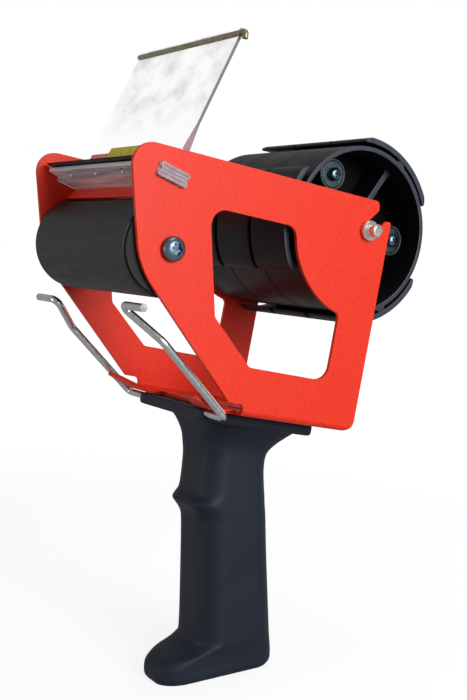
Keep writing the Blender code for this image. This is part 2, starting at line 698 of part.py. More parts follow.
def make_blade_pins():
    top = HOLDER_THICKNESS / 2 - HOLDER_STEP_DEPTH + SEAT_GAP + BLADE_THICKNESS + SEAT_GAP
    low = -HOLDER_THICKNESS / 2 - PIN_TAIL
    pins = []
    for number, x in enumerate(pin_places(), 1):
        pin = cross_rod(f"blade_pin_{number}", x, pin_forward(), low, top + PIN_HEAD_HEIGHT / 2, PIN_RADIUS)
        join(pin, cross_rod("head", x, pin_forward(), top, top + PIN_HEAD_HEIGHT, PIN_HEAD_RADIUS))
        pins.append(pin)
    return pins


def flap_point(reach, across):
    return turned(hinge_centre(), FLAP_ANGLE, reach, across)


def flap_root_half():
    return HOLDER_HALF - EAR_THICKNESS - EAR_RUNNING_GAP


def make_clear_flap():
    """Clear leaf: a hinge barrel, a thick root that thins upwards, and a bead along the top."""
    root_half = flap_root_half()
    wide_half = HOLDER_HALF - SEAT_GAP
    root = FLAP_ROOT_THICKNESS / 2
    thin = FLAP_THICKNESS / 2
    end = FLAP_LENGTH
    neck = [(0, -thin), (FLAP_ROOT, -root), (FLAP_ROOT, root), (0, thin)]
    leaf = [(FLAP_ROOT - WELD_INSET, -root), (FLAP_WEDGE, -thin), (end, -thin),
            (end, thin), (FLAP_WEDGE, thin), (FLAP_ROOT - WELD_INSET, root)]
    flap = prism("clear_flap", [flap_point(*p) for p in leaf], -wide_half, wide_half)
    join(flap, prism("neck", [flap_point(*p) for p in neck], -root_half + WELD_INSET, root_half - WELD_INSET),
         rod("barrel", -root_half, root_half, FLAP_BARREL_RADIUS, hinge_centre()),
         rod("bead", -wide_half + WELD_INSET, wide_half - WELD_INSET, FLAP_BEAD_RADIUS, flap_point(end, 0)))
    cut(flap, rod("bore", -INNER_HALF, INNER_HALF, HINGE_ROD_RADIUS + RUNNING_GAP, hinge_centre()),
        rod("bead_bore", -INNER_HALF, INNER_HALF, FLAP_ROD_RADIUS + RUNNING_GAP, flap_point(end, 0)))
    return flap


def make_flap_rod():
    """Thin rod in the bead, bent down into a small hook at the right-hand end."""
    u, w = flap_point(FLAP_LENGTH, 0)
    half = HOLDER_HALF + FLAP_ROD_RADIUS
    bend = half + FLAP_ROD_OVERHANG / 2
    points = [(-half, u, w), (half, u, w), (bend, u, w - FLAP_ROD_RADIUS / 3),
              (half + FLAP_ROD_OVERHANG * 0.8, u, w - FLAP_ROD_RADIUS),
              (half + FLAP_ROD_OVERHANG * 0.85, u, w - FLAP_HOOK_DROP)]
    return tube("flap_rod", points, FLAP_ROD_RADIUS, 4)


def make_label_strip():
    """Strip stuck on the thick root, its lower edge standing a little free below it."""
    half = flap_root_half() - SEAT_GAP
    slope = (FLAP_ROOT_THICKNESS - FLAP_THICKNESS) / 2 / (FLAP_WEDGE - FLAP_ROOT)
    end = LABEL_START + LABEL_HEIGHT
    low = FLAP_ROOT_THICKNESS / 2 + SEAT_GAP
    far = low - slope * (end - FLAP_ROOT)
    outline = [(LABEL_START, low), (FLAP_ROOT, low), (end, far), (end, far + LABEL_THICKNESS),
               (FLAP_ROOT, low + LABEL_THICKNESS), (LABEL_START, low + LABEL_THICKNESS)]
    return prism("label_strip", [flap_point(*p) for p in outline], -half, LABEL_YELLOW_END)


def make_roller_sleeve():
    return ring("roller_sleeve", -DRUM_HALF, DRUM_HALF, ROLLER_RADIUS,
                ROLLER_RADIUS - ROLLER_SLEEVE_WALL, roller_centre())


def roller_core_radius():
    return ROLLER_RADIUS - ROLLER_SLEEVE_WALL - SEAT_GAP


def make_roller_core():
    half = DRUM_HALF - ROLLER_CORE_SETBACK
    outer = roller_core_radius()
    return ring("roller_core", -half, half, outer, outer - ROLLER_CORE_WALL, roller_centre())


def make_roller_cap(name, side):
    """End plug of the roller: a flange over the sleeve's end, a plug in the core and a bored boss."""
    flange_low = DRUM_HALF + SEAT_GAP
    plug = roller_core_radius() - ROLLER_CORE_WALL - SEAT_GAP
    bore = ROLLER_AXLE_RADIUS + RUNNING_GAP
    boss = bore + ROLLER_CAP_BOSS_WALL
    profile = [(flange_low - ROLLER_CAP_PLUG, bore), (flange_low - ROLLER_CAP_PLUG, plug),
               (flange_low, plug), (flange_low, ROLLER_RADIUS - ROLLER_CAP_LIP),
               (flange_low + ROLLER_CAP_FLANGE, ROLLER_RADIUS - ROLLER_CAP_LIP),
               (flange_low + ROLLER_CAP_FLANGE, boss), (INNER_HALF - SEAT_GAP, boss),
               (INNER_HALF - SEAT_GAP, bore), (flange_low - ROLLER_CAP_PLUG, bore)]
    return turned_solid(name, [(side * x, radius) for x, radius in profile], roller_centre())


def make_roller_axle():
    """Spacer rod between the plates, tapped at both ends for the screws."""
    half = INNER_HALF - SEAT_GAP
    axle = rod("roller_axle", -half, half, ROLLER_AXLE_RADIUS, roller_centre())
    deep = half - SCREW_LENGTH - OVERRUN
    for side in (-1, 1):
        ends = sorted((side * deep, side * (half + OVERRUN)))
        cut(axle, rod("tapped_hole", *ends, SCREW_RADIUS + SEAT_GAP, roller_centre()))
    return axle


def make_roller_screw(name, side):
    """Button-head screw with a six-lobe recess."""
    seat = OUTER_HALF + SEAT_GAP
    crown = seat + SCREW_HEAD_HEIGHT
    profile = [(INNER_HALF - SCREW_LENGTH, SCREW_RADIUS), (seat, SCREW_RADIUS), (seat, SCREW_HEAD_RADIUS)]
    steps = CORNER_STEPS
    for k in range(steps + 1):
        angle = math.pi / 2 * k / steps * 0.8
        profile.append((crown - SCREW_HEAD_HEIGHT * 0.75 * (1 - math.sin(angle) / math.sin(math.pi * 0.4)),
                        SCREW_HEAD_RADIUS * math.cos(angle)))
    screw = turned_solid(name, [(side * x, radius) for x, radius in profile], roller_centre(),
                         SMALL_ROUND_STEPS)
    lobes = []
    for k in range(SMALL_ROUND_STEPS):
        angle = 2 * math.pi * k / SMALL_ROUND_STEPS
        lobes.append(polar(roller_centre(), SCREW_RECESS_RADIUS * (1 + 0.16 * math.cos(6 * angle)), angle))
    ends = sorted((side * (crown - SCREW_RECESS_DEPTH), side * (crown + OVERRUN)))
    return cut(screw, prism("recess", lobes, *ends))


def make_drum_axle():
    neck_low = INNER_HALF - SEAT_GAP
    neck_high = OUTER_HALF + SEAT_GAP
    collar = neck_high + AXLE_COLLAR
    tip = collar + AXLE_PIN_LENGTH
    chamfer = AXLE_NECK_RADIUS / 5
    half = [(neck_low, AXLE_RADIUS), (neck_low, AXLE_NECK_RADIUS), (neck_high, AXLE_NECK_RADIUS),
            (neck_high, AXLE_RADIUS), (collar, AXLE_RADIUS), (collar, AXLE_NECK_RADIUS),
            (tip - chamfer, AXLE_NECK_RADIUS), (tip, AXLE_NECK_RADIUS - chamfer)]
    profile = [(-x, radius) for x, radius in reversed(half)] + half
    return turned_solid("drum_axle", profile, axle_centre(), SMALL_ROUND_STEPS)


def section_width():
    return (2 * DRUM_HALF - (DRUM_SECTIONS - 1) * DRUM_SECTION_GAP) / DRUM_SECTIONS


def finger(name, x_low, x_high, middle):
    """Spring finger: an arc outside the barrel on one rib, its two tips drawn in a little."""
    axle = axle_centre()
    outer = CORE_BORE / 2
    start = middle - FINGER_SPREAD
    end = middle + FINGER_SPREAD
    ramp = FINGER_SPREAD / 6
    skin = arc(axle, outer, start + ramp, end - ramp, ROUND_STEPS // 3)
    under = arc(axle, outer - FINGER_THICKNESS, end - ramp, start + ramp, ROUND_STEPS // 3)
    outline = [polar(axle, outer - FINGER_RAMP, start)] + skin + [polar(axle, outer - FINGER_RAMP, end)]
    outline += [polar(axle, outer - FINGER_THICKNESS, end)] + under
    outline += [polar(axle, outer - FINGER_THICKNESS, start)]
    leaf = prism(name, outline, x_low, x_high)
    low = DRUM_BARREL_RADIUS - DRUM_WALL / 2
    high = outer - FINGER_THICKNESS / 2
    half = FINGER_RIB_WIDTH / 2
    rib = [turned(axle, middle, low, -half), turned(axle, middle, high, -half),
           turned(axle, middle, high, half), turned(axle, middle, low, half)]
    return leaf, prism("rib", rib, x_low + WELD_INSET, x_high - WELD_INSET)


def make_drum_section(name, index):
    """One third of the drum: barrel, three fingers, hub, disc with spokes, and screw bosses.
    The two end sections are mirror images and open to the outside."""
    width = section_width()
    x_low = -DRUM_HALF + index * (width + DRUM_SECTION_GAP)
    x_high = x_low + width
    middle = (x_low + x_high) / 2
    axle = axle_centre()
    side = -1 if index == 0 else 1
    section = ring(name, x_low, x_high, DRUM_BARREL_RADIUS, DRUM_BARREL_RADIUS - DRUM_WALL, axle)
    hub_low, hub_high = x_low, x_high
    boss_low, boss_high = x_low, x_high
    if index == 0:
        hub_low, boss_low = x_low + HUB_END, x_low + DRUM_BOSS_SETBACK
    if index == DRUM_SECTIONS - 1:
        hub_high, boss_high = x_high - HUB_END, x_high - DRUM_BOSS_SETBACK
    outer_end = x_low if side < 0 else x_high
    disc_face = outer_end - side * HUB_DISC_SETBACK
    disc = sorted((disc_face, disc_face - side * HUB_DISC_THICKNESS))
    spoke_face = hub_low if side < 0 else hub_high - WELD_INSET
    if 0 < index < DRUM_SECTIONS - 1:
        spoke_face = disc_face + side * HUB_DISC_THICKNESS
    spoke = sorted((disc_face - side * HUB_DISC_THICKNESS / 2, spoke_face))
    join(section, rod("disc", *disc, DRUM_BARREL_RADIUS - DRUM_WALL / 2, axle, ROUND_STEPS),
         rod("hub", hub_low + WELD_INSET, hub_high - WELD_INSET, HUB_RADIUS, axle))
    half = SPOKE_THICKNESS / 2
    for k in range(FINGER_COUNT):
        turn = 2 * math.pi * k / FINGER_COUNT
        reach = DRUM_BARREL_RADIUS - DRUM_WALL / 2
        corners = [turned(axle, SPOKE_CENTRE + turn, HUB_RADIUS / 2, -half),
                   turned(axle, SPOKE_CENTRE + turn, reach, -half),
                   turned(axle, SPOKE_CENTRE + turn, reach, half),
                   turned(axle, SPOKE_CENTRE + turn, HUB_RADIUS / 2, half)]
        join(section, prism("spoke", corners, *spoke))
        place = polar(axle, DRUM_SCREW_CIRCLE, DRUM_SCREW_ANGLE + turn)
        join(section, rod("boss", boss_low + WELD_INSET, boss_high - WELD_INSET, DRUM_BOSS_RADIUS, place))
        cut(section, rod("screw_bore", x_low - OVERRUN, x_high + OVERRUN,
                         DRUM_SCREW_RADIUS + RUNNING_GAP, place))
        leaf, rib = finger("finger", middle - FINGER_HALF_WIDTH, middle + FINGER_HALF_WIDTH,
                           FINGER_CENTRE + turn)
        join(section, rib, leaf)
    cut(section, rod("axle_bore", x_low - OVERRUN, x_high + OVERRUN, AXLE_RADIUS + RUNNING_GAP, axle))
    return section


def boss_face():
    return DRUM_HALF - DRUM_BOSS_SETBACK


def make_drum_hardware():
    """Long screws through the three sections, washers under their heads, and nuts at the far end."""
    washer_low = boss_face() + SEAT_GAP
    head_low = washer_low + WASHER_THICKNESS + SEAT_GAP
    nut_low = -boss_face() - SEAT_GAP - NUT_THICKNESS
    pieces = []
    for k in range(FINGER_COUNT):
        number = k + 1
        place = polar(axle_centre(), DRUM_SCREW_CIRCLE, DRUM_SCREW_ANGLE + 2 * math.pi * k / FINGER_COUNT)
        head_high = head_low + DRUM_SCREW_HEAD_HEIGHT
        profile = [(nut_low - OVERRUN, DRUM_SCREW_RADIUS), (head_low, DRUM_SCREW_RADIUS),
                   (head_low, DRUM_SCREW_HEAD_RADIUS), (head_high - SEAT_GAP, DRUM_SCREW_HEAD_RADIUS),
                   (head_high, DRUM_SCREW_HEAD_RADIUS - SEAT_GAP)]
        screw = turned_solid(f"drum_screw_{number}", profile, place, SMALL_ROUND_STEPS)
        socket = rod("socket", head_high - DRUM_SCREW_HEAD_HEIGHT / 2, head_high + OVERRUN,
                     DRUM_SCREW_HEAD_RADIUS / 2, place, 6)
        pieces.append(cut(screw, socket))
        pieces.append(ring(f"drum_washer_{number}", washer_low, washer_low + WASHER_THICKNESS, WASHER_RADIUS,
                           DRUM_SCREW_RADIUS + RUNNING_GAP, place, SMALL_ROUND_STEPS))
        nut = rod(f"drum_screw_nut_{number}", nut_low, nut_low + NUT_THICKNESS, NUT_RADIUS, place, 6)
        pieces.append(cut(nut, rod("thread", nut_low - OVERRUN, -boss_face() + OVERRUN,
                                   DRUM_SCREW_RADIUS + RUNNING_GAP, place)))
    return pieces


def make_brake():
    """Washer, spring and nut that press on the hub's far end."""
    axle = axle_centre()
    bore = AXLE_RADIUS + RUNNING_GAP
    face = -(DRUM_HALF - HUB_END) - SEAT_GAP
    washer = ring("brake_washer", face - BRAKE_WASHER_THICKNESS, face, BRAKE_WASHER_RADIUS, bore, axle,
                  SMALL_ROUND_STEPS)
    start = face - BRAKE_WASHER_THICKNESS - SEAT_GAP - BRAKE_WIRE_RADIUS
    travel = BRAKE_COIL_LENGTH - 2 * BRAKE_WIRE_RADIUS
    points = []
    for k in range(BRAKE_COIL_POINTS + 1):
        share = k / BRAKE_COIL_POINTS
        points.append((start - travel * share,
                       *polar(axle, BRAKE_COIL_RADIUS, 2 * math.pi * BRAKE_COIL_TURNS * share)))
    spring = tube("brake_spring", points, BRAKE_WIRE_RADIUS, 1)
    nut_high = start - travel - BRAKE_WIRE_RADIUS - SEAT_GAP
    nut = cut(rod("brake_nut", nut_high - BRAKE_NUT_THICKNESS, nut_high, BRAKE_NUT_RADIUS, axle, 6),
              rod("thread", nut_high - BRAKE_NUT_THICKNESS - OVERRUN, nut_high + OVERRUN, bore, axle))
    return washer, spring, nut


def bent_path(corners, radius, steps=CORNER_STEPS):
    """Points of a wire with round bends at the inner corners."""
    points = [Vector(corners[0])]
    for before, here, after in zip(corners, corners[1:], corners[2:]):
        here, back, on = Vector(here), Vector(before) - Vector(here), Vector(after) - Vector(here)
        half = back.angle(on) / 2
        reach = radius / math.tan(half)
        centre = here + (back.normalized() + on.normalized()).normalized() * (radius / math.sin(half))
        start = here + back.normalized() * reach - centre
        end = here + on.normalized() * reach - centre
        for k in range(steps + 1):
            points.append(centre + start.normalized().slerp(end.normalized(), k / steps) * radius)
    points.append(Vector(corners[-1]))
    return points


def make_wire_bail():
    u, w = bail_centre()
    roller = roller_centre()
    arm = INNER_HALF - BAIL_ARM_GAP - BAIL_RADIUS
    elbow = (roller[0] + BAIL_ELBOW_FROM_ROLLER[0], roller[1] + BAIL_ELBOW_FROM_ROLLER[1])
    tip = (roller[0] + BAIL_TIP_FROM_ROLLER[0], roller[1] + BAIL_TIP_FROM_ROLLER[1])
    half = [(arm, u, w), (arm, *elbow), (arm - BAIL_TIP_INSET, *tip), (arm + BAIL_TIP_REACH, *tip)]
    corners = [(-x, y, z) for x, y, z in reversed(half)] + half
    return tube("wire_bail", bent_path(corners, BAIL_BEND_RADIUS), BAIL_RADIUS, 3)


def frame_matrix():
    """From the frame's tilted coordinates to the world."""
    return Matrix.Translation((0, 0, GRIP_HEIGHT)) @ Matrix.Rotation(-FRAME_TILT, 4, "X")


def grip_ring(front, rear, half, radius, toe_share=1.0):
    """Rounded section of the grip between a front and a rear point (y, z), narrower at its toe."""
    depth = (rear[0] - front[0]) / 2
    radius = min(radius, depth * 0.95, half * toe_share * 0.95)
    middle = (front[0] + rear[0]) / 2
    flat = rounded([(half, -depth, radius), (half, depth, radius), (-half, depth, radius),
                    (-half, -depth, radius)], 2 * CORNER_STEPS)
    points = []
    for x, y in flat:
        forward = max(0, -y / depth)
        rise = front[1] + (rear[1] - front[1]) * (y + depth) / (2 * depth)
        points.append((x * (1 - (1 - toe_share) * forward), middle + y, rise))
    return points


def make_handle():
    rings = []
    for front, front_z, rear, rear_z, half, corner, toe in GRIP_SECTION_SHARES:
        rings.append(grip_ring((front * GRIP_DEPTH, front_z * GRIP_HEIGHT),
                               (rear * GRIP_DEPTH, rear_z * GRIP_HEIGHT),
                               half * GRIP_HALF, corner * GRIP_CORNER_RADIUS, toe))
    handle = loft("handle", rings)
    flange_rings = []
    for level, inset in ((-FLANGE_THICKNESS, FLANGE_EDGE_ROUND), (FLANGE_EDGE_ROUND - FLANGE_THICKNESS, 0),
                         (-FLANGE_EDGE_ROUND / 2, 0), (0, FLANGE_EDGE_ROUND / 2)):
        outline = rounded([(FLANGE_HALF - inset, -FLANGE_FRONT + inset, FLANGE_CORNER_RADIUS),
                           (FLANGE_HALF - inset, FLANGE_REAR - inset, FLANGE_CORNER_RADIUS / 2),
                           (-FLANGE_HALF + inset, FLANGE_REAR - inset, FLANGE_CORNER_RADIUS / 2),
                           (-FLANGE_HALF + inset, -FLANGE_FRONT + inset, FLANGE_CORNER_RADIUS)])
        flange_rings.append([(x, y, level - SEAT_GAP) for x, y in outline])
    flange = loft("flange", flange_rings)
    flange.data.transform(frame_matrix())
    join(handle, flange)
    for place in grip_screw_places():
        boss = upright_rod("boss", place, -GRIP_BOSS_LENGTH, -FLANGE_THICKNESS / 2, GRIP_BOSS_RADIUS)
        boss.data.transform(frame_matrix())
        join(handle, boss)
    cavity_rings = []
    for front, front_z, rear, rear_z in GRIP_CAVITY_SHARES:
        cavity_rings.append(grip_ring((front * GRIP_DEPTH, front_z * GRIP_HEIGHT),
                                      (rear * GRIP_DEPTH, rear_z * GRIP_HEIGHT),
                                      GRIP_HALF - GRIP_WALL, GRIP_CORNER_RADIUS - GRIP_WALL))
    cut(handle, loft("cavity", cavity_rings))
    for place in grip_screw_places():
        hole = upright_rod("hole", place, -GRIP_SCREW_LENGTH - OVERRUN, OVERRUN,
                           GRIP_SCREW_RADIUS + RUNNING_GAP)
        hole.data.transform(frame_matrix())
        cut(handle, hole)
    u, w = bail_centre()
    room = BAIL_RADIUS + SEAT_GAP
    groove = arc((u, w), room, math.pi, 2 * math.pi, 2 * CORNER_STEPS)
    groove += [(u + room, OVERRUN), (u - room, OVERRUN)]
    channel = prism("groove", groove, -INNER_HALF, INNER_HALF)
    channel.data.transform(frame_matrix())
    cut(handle, channel)
    return handle


def make_handle_screws():
    screws = []
    seat = PLATE_THICKNESS + SEAT_GAP
    for number, place in enumerate(grip_screw_places(), 1):
        rings = []
        levels = [(-GRIP_SCREW_LENGTH, GRIP_SCREW_RADIUS), (seat, GRIP_SCREW_RADIUS),
                  (seat, GRIP_SCREW_HEAD_RADIUS), (seat + GRIP_SCREW_HEAD_HEIGHT / 2, GRIP_SCREW_HEAD_RADIUS),
                  (seat + GRIP_SCREW_HEAD_HEIGHT, GRIP_SCREW_HEAD_RADIUS / 2)]
        for level, radius in levels:
            rings.append([(x, y, level) for x, y in circle(place, radius)])
        screws.append(loft(f"handle_screw_{number}", rings))
    return screws


def material(name, colour, roughness, metallic=0.0, alpha=1.0, transmission=0.0):
    finish = bpy.data.materials.new(name)
    finish.use_nodes = True
    shader = finish.node_tree.nodes["Principled BSDF"]
    shader.inputs["Base Color"].default_value = (*colour, 1)
    shader.inputs["Roughness"].default_value = roughness
    shader.inputs["Metallic"].default_value = metallic
    shader.inputs["Alpha"].default_value = alpha
    shader.inputs["Transmission Weight"].default_value = transmission
    return finish


def empty(name, parent, location, tilt=0.0):
    mark = bpy.data.objects.new(name, None)
    mark.empty_display_size = GRIP_HALF
    bpy.context.scene.collection.objects.link(mark)
    mark.parent = parent
    mark.location = location
    mark.rotation_euler.x = tilt
    return mark


def seat(piece, parent, finish, smooth=math.radians(35)):
    """Hang a piece under the empty of its joint, with the piece's origin on it."""
    origin = Vector((0, 0, 0)) if parent.name in ("dispenser", "frame_seat") else parent.location
    piece.data.transform(Matrix.Translation(-origin))
    piece.parent = parent
    piece.location = (0, 0, 0)
    piece.data.materials.clear()
    piece.data.materials.append(finish)
    piece.data.shade_smooth()
    piece.data.set_sharp_from_angle(angle=smooth)
    return piece


def main():
    for item in list(bpy.data.objects):
        bpy.data.objects.remove(item)
    red = material("red_powder_coat", (0.85, 0.05, 0.02), 0.4)
    black = material("black_moulded_plastic", (0.012, 0.012, 0.014), 0.45)
    drum_black = material("black_drum_plastic", (0.015, 0.015, 0.016), 0.5)
    rubber = material("black_roller_rubber", (0.012, 0.012, 0.012), 0.6)
    clear = material("clear_plastic", (0.85, 0.87, 0.85), 0.08, alpha=0.35, transmission=0.9)
    zinc = material("zinc_plate", (0.55, 0.56, 0.55), 0.35, metallic=1.0)
    steel = material("bright_steel", (0.5, 0.52, 0.54), 0.3, metallic=1.0)
    dark_steel = material("dark_blade_steel", (0.08, 0.08, 0.085), 0.35, metallic=1.0)
    brown = material("brown_rod", (0.25, 0.17, 0.04), 0.4)
    yellow = material("label_paper", (0.9, 0.62, 0.05), 0.5)

    root = empty("dispenser", None, (0, 0, 0))
    frame_seat = empty("frame_seat", root, (0, 0, GRIP_HEIGHT), -FRAME_TILT)
    roller_axis = empty("roller_axis", frame_seat, (0, *roller_centre()))
    drum_axis = empty("drum_axis", frame_seat, (0, *axle_centre()))
    flap_axis = empty("flap_axis", frame_seat, (0, *hinge_centre()))
    bail_axis = empty("bail_axis", frame_seat, (0, *bail_centre()))

    seat(make_handle(), root, black)
    seat(make_sheet_frame(), frame_seat, red)
    seat(make_tape_guide(), frame_seat, red)
    seat(make_blade_holder(), frame_seat, clear)
    seat(make_cutter_blade(), frame_seat, dark_steel)
    for piece in make_handle_screws() + make_blade_pins():
        seat(piece, frame_seat, steel)
    seat(rod("flap_hinge_rod", -HOLDER_HALF, HOLDER_HALF, HINGE_ROD_RADIUS, hinge_centre()),
         flap_axis, steel)
    seat(make_roller_axle(), roller_axis, steel)
    seat(make_roller_screw("roller_screw_right", 1), roller_axis, steel)
    seat(make_roller_screw("roller_screw_left", -1), roller_axis, steel)
    seat(make_roller_sleeve(), roller_axis, rubber)
    seat(make_roller_core(), roller_axis, steel)
    seat(make_roller_cap("roller_cap_right", 1), roller_axis, drum_black)
    seat(make_roller_cap("roller_cap_left", -1), roller_axis, drum_black)
    seat(make_drum_axle(), drum_axis, steel)
    for piece in make_brake():
        seat(piece, drum_axis, steel)
    for index, name in enumerate(("left", "middle", "right")):
        seat(make_drum_section("drum_section_" + name, index), drum_axis, drum_black)
    for piece in make_drum_hardware():
        seat(piece, drum_axis, steel)
    seat(make_clear_flap(), flap_axis, clear)
    seat(make_flap_rod(), flap_axis, brown)
    seat(make_label_strip(), flap_axis, yellow)
    seat(make_wire_bail(), bail_axis, zinc)
    bpy.context.view_layer.update()


main()
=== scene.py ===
import json
import math

import bmesh
import bpy
from mathutils import Matrix, Quaternion, Vector


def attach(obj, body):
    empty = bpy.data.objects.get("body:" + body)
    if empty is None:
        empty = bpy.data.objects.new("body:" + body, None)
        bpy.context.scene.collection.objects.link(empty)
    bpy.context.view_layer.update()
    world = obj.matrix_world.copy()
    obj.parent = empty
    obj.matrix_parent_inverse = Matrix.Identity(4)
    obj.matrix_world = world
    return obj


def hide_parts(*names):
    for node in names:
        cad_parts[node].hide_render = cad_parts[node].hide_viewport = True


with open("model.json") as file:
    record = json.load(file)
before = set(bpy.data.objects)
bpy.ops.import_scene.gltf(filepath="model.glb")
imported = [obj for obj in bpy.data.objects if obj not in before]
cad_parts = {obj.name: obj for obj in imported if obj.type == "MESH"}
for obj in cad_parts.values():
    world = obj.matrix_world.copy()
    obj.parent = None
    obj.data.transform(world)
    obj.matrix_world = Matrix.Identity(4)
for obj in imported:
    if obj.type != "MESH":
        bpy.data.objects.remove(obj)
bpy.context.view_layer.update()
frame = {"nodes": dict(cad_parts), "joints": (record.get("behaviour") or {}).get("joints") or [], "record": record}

mm = 0.001
seatHeight = 112.5 * mm  # where the sheet frame sits on the grip
seatTilt = math.radians(12.9)  # the frame leans down to the rear
jointPlace = {j["name"]: j.get("pos_m") for j in frame["joints"]}
toWorld = Matrix.Translation((0, 0, seatHeight)) @ Matrix.Rotation(-seatTilt, 4, "X")
toSeat = toWorld.inverted()


def seatPoint(jointName):  # a joint's axis in the tilted coordinates of the frame, as (along, up)
    place = toSeat @ Vector(jointPlace[jointName])
    return (place.y, place.z)


rollerAxis = seatPoint("roller_spin")
drumAxis = seatPoint("drum_spin")
flapAxis = seatPoint("flap_swing")
bailAxis = seatPoint("bail_swing")

sheet = {"inner": 40.5 * mm, "outer": 42.0 * mm, "thick": 1.5 * mm, "bend": 2.5 * mm, "edge": 0.22 * mm}


# Shapes

def polar(centre, radius, angle):
    return (centre[0] + radius * math.cos(angle), centre[1] + radius * math.sin(angle))


def turned(origin, angle, forward, up):
    c, s = math.cos(angle), math.sin(angle)
    return (origin[0] + forward * c - up * s, origin[1] + forward * s + up * c)


def arc(centre, radius, start, end, steps):
    return [polar(centre, radius, start + (end - start) * k / steps) for k in range(steps + 1)]


def rounded(corners, steps=10):  # outline with a fillet at each corner (along, up, radius)
    outline = []
    for i, (u, w, radius) in enumerate(corners):
        here = Vector((u, w))
        back = Vector(corners[i - 1][:2]) - here
        ahead = Vector(corners[(i + 1) % len(corners)][:2]) - here
        if radius <= 0:
            outline.append((u, w))
            continue
        half = back.angle(ahead) / 2
        reach = min(radius / math.tan(half), back.length * 0.49, ahead.length * 0.49)
        radius = reach * math.tan(half)
        centre = here + (back.normalized() + ahead.normalized()).normalized() * (radius / math.sin(half))
        start = here + back.normalized() * reach - centre
        sweep = start.angle_signed(here + ahead.normalized() * reach - centre)
        first = math.atan2(start.y, start.x)
        outline += [polar(centre, radius, first - sweep * k / steps) for k in range(steps + 1)]
    return outline


def toObject(name, bm):
    bmesh.ops.recalc_face_normals(bm, faces=bm.faces)
    mesh = bpy.data.meshes.new(name)
    bm.to_mesh(mesh)
    bm.free()
    piece = bpy.data.objects.new(name, mesh)
    bpy.context.scene.collection.objects.link(piece)
    return piece


def loft(name, rings, capped=True, closed=False):
    bm = bmesh.new()
    loops = [[bm.verts.new(point) for point in ring] for ring in rings]
    pairs = list(zip(loops, loops[1:]))
    if closed:
        pairs.append((loops[-1], loops[0]))
    elif capped:
        bm.faces.new(loops[0])
        bm.faces.new(loops[-1])
    for low, high in pairs:
        for i in range(len(low)):
            k = (i + 1) % len(low)
            bm.faces.new((low[i], low[k], high[k], high[i]))
    return toObject(name, bm)


def prism(name, outline, low, high):  # an (along, up) outline drawn across the frame from low to high
    return loft(name, [[(x, u, w) for u, w in outline] for x in (low, high)])


def across(side, near, far):  # two distances from the middle plane as low and high on one side of it
    return sorted((side * near, side * far))


def lathe(name, profile, centre, steps=96, closed=False):  # profile of (x, radius) turned about an X axis
    rings = []
    for x, radius in profile:
        rings.append([(x, *polar(centre, radius, 2 * math.pi * k / steps)) for k in range(steps)])
    return loft(name, rings, closed=closed)


def crossRod(name, low, high, radius, centre, steps=48):
    return lathe(name, [(low, radius), (high, radius)], centre, steps)


def uprightLathe(name, place, profile, steps=32):  # profile of (height, radius) turned about an upright axis
    return loft(name, [[(*polar(place, radius, 2 * math.pi * k / steps), height) for k in range(steps)]
                       for height, radius in profile])


def softProfile(corners, radius, steps=4):  # rounds the corners of a lathe profile
    return rounded([(x, r, radius) for x, r in corners], steps)


def plainMesh(piece):  # what the modifiers give, as the piece's own mesh
    bpy.context.view_layer.update()
    mesh = bpy.data.meshes.new_from_object(piece.evaluated_get(bpy.context.evaluated_depsgraph_get()))
    piece.modifiers.clear()
    if piece.type == "MESH":
        piece.data = mesh
        return piece
    name = piece.name
    bpy.data.objects.remove(piece)
    solid = bpy.data.objects.new(name, mesh)
    bpy.context.scene.collection.objects.link(solid)
    return solid


def combine(piece, operation, *tools):
    for tool in tools:
        boolean = piece.modifiers.new("cut", "BOOLEAN")
        boolean.operation = operation
        boolean.solver = "EXACT"
        boolean.object = tool
        plainMesh(piece)
        bpy.data.objects.remove(tool)
    return piece


def cut(piece, *tools):
    return combine(piece, "DIFFERENCE", *tools)


def join(piece, *tools):
    return combine(piece, "UNION", *tools)


def softenEdges(piece, width, segments=2, angle=32):
    bevel = piece.modifiers.new("edges", "BEVEL")
    bevel.width = width
    bevel.segments = segments
    bevel.limit_method = "ANGLE"
    bevel.angle_limit = math.radians(angle)
    bevel.harden_normals = False
    bevel.use_clamp_overlap = True
    return plainMesh(piece)


def tilt(piece):  # from the frame's tilted coordinates to the world
    piece.data.transform(toWorld)
    return piece


def dress(piece, body, slotName, finish, *nodes, smooth=34):
    piece.data.materials.clear()
    piece.data.materials.append(finish)
    piece.data.shade_smooth()
    piece.data.set_sharp_from_angle(angle=math.radians(smooth))
    even = piece.modifiers.new("evenShading", "WEIGHTED_NORMAL")
    even.keep_sharp = True
    plainMesh(piece)
    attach(piece, body)
    if nodes:
        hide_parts(*nodes)
    return piece


def tintEnds(piece, finish, beyond, bothSides=True):  # faces that look sideways, farther out than `beyond`
    piece.data.materials.append(finish)
    for face in piece.data.polygons:
        away = abs(face.center.x) if bothSides else face.center.x
        if abs(face.normal.x) > 0.6 and away > beyond:
            face.material_index = len(piece.data.materials) - 1


# Materials

def fromHex(text):
    channels = [int(text[i:i + 2], 16) / 255 for i in (1, 3, 5)]
    return (*[c / 12.92 if c <= 0.04045 else ((c + 0.055) / 1.055) ** 2.4 for c in channels], 1.0)


def addNode(tree, kind, settings=None, links=None):
    node = tree.nodes.new(kind)
    for key, value in (settings or {}).items():
        if isinstance(key, int) or key in node.inputs:
            node.inputs[key].default_value = value
        else:
            setattr(node, key, value)
    for key, source in (links or {}).items():
        tree.links.new(source, node.inputs[key])
    return node


def maths(tree, operation, *inputs):  # each input is a number or a socket
    node = addNode(tree, "ShaderNodeMath", {"operation": operation})
    for socket, source in zip(node.inputs, inputs):
        if isinstance(source, bpy.types.NodeSocket):
            tree.links.new(source, socket)
        else:
            socket.default_value = source
    return node.outputs[0]


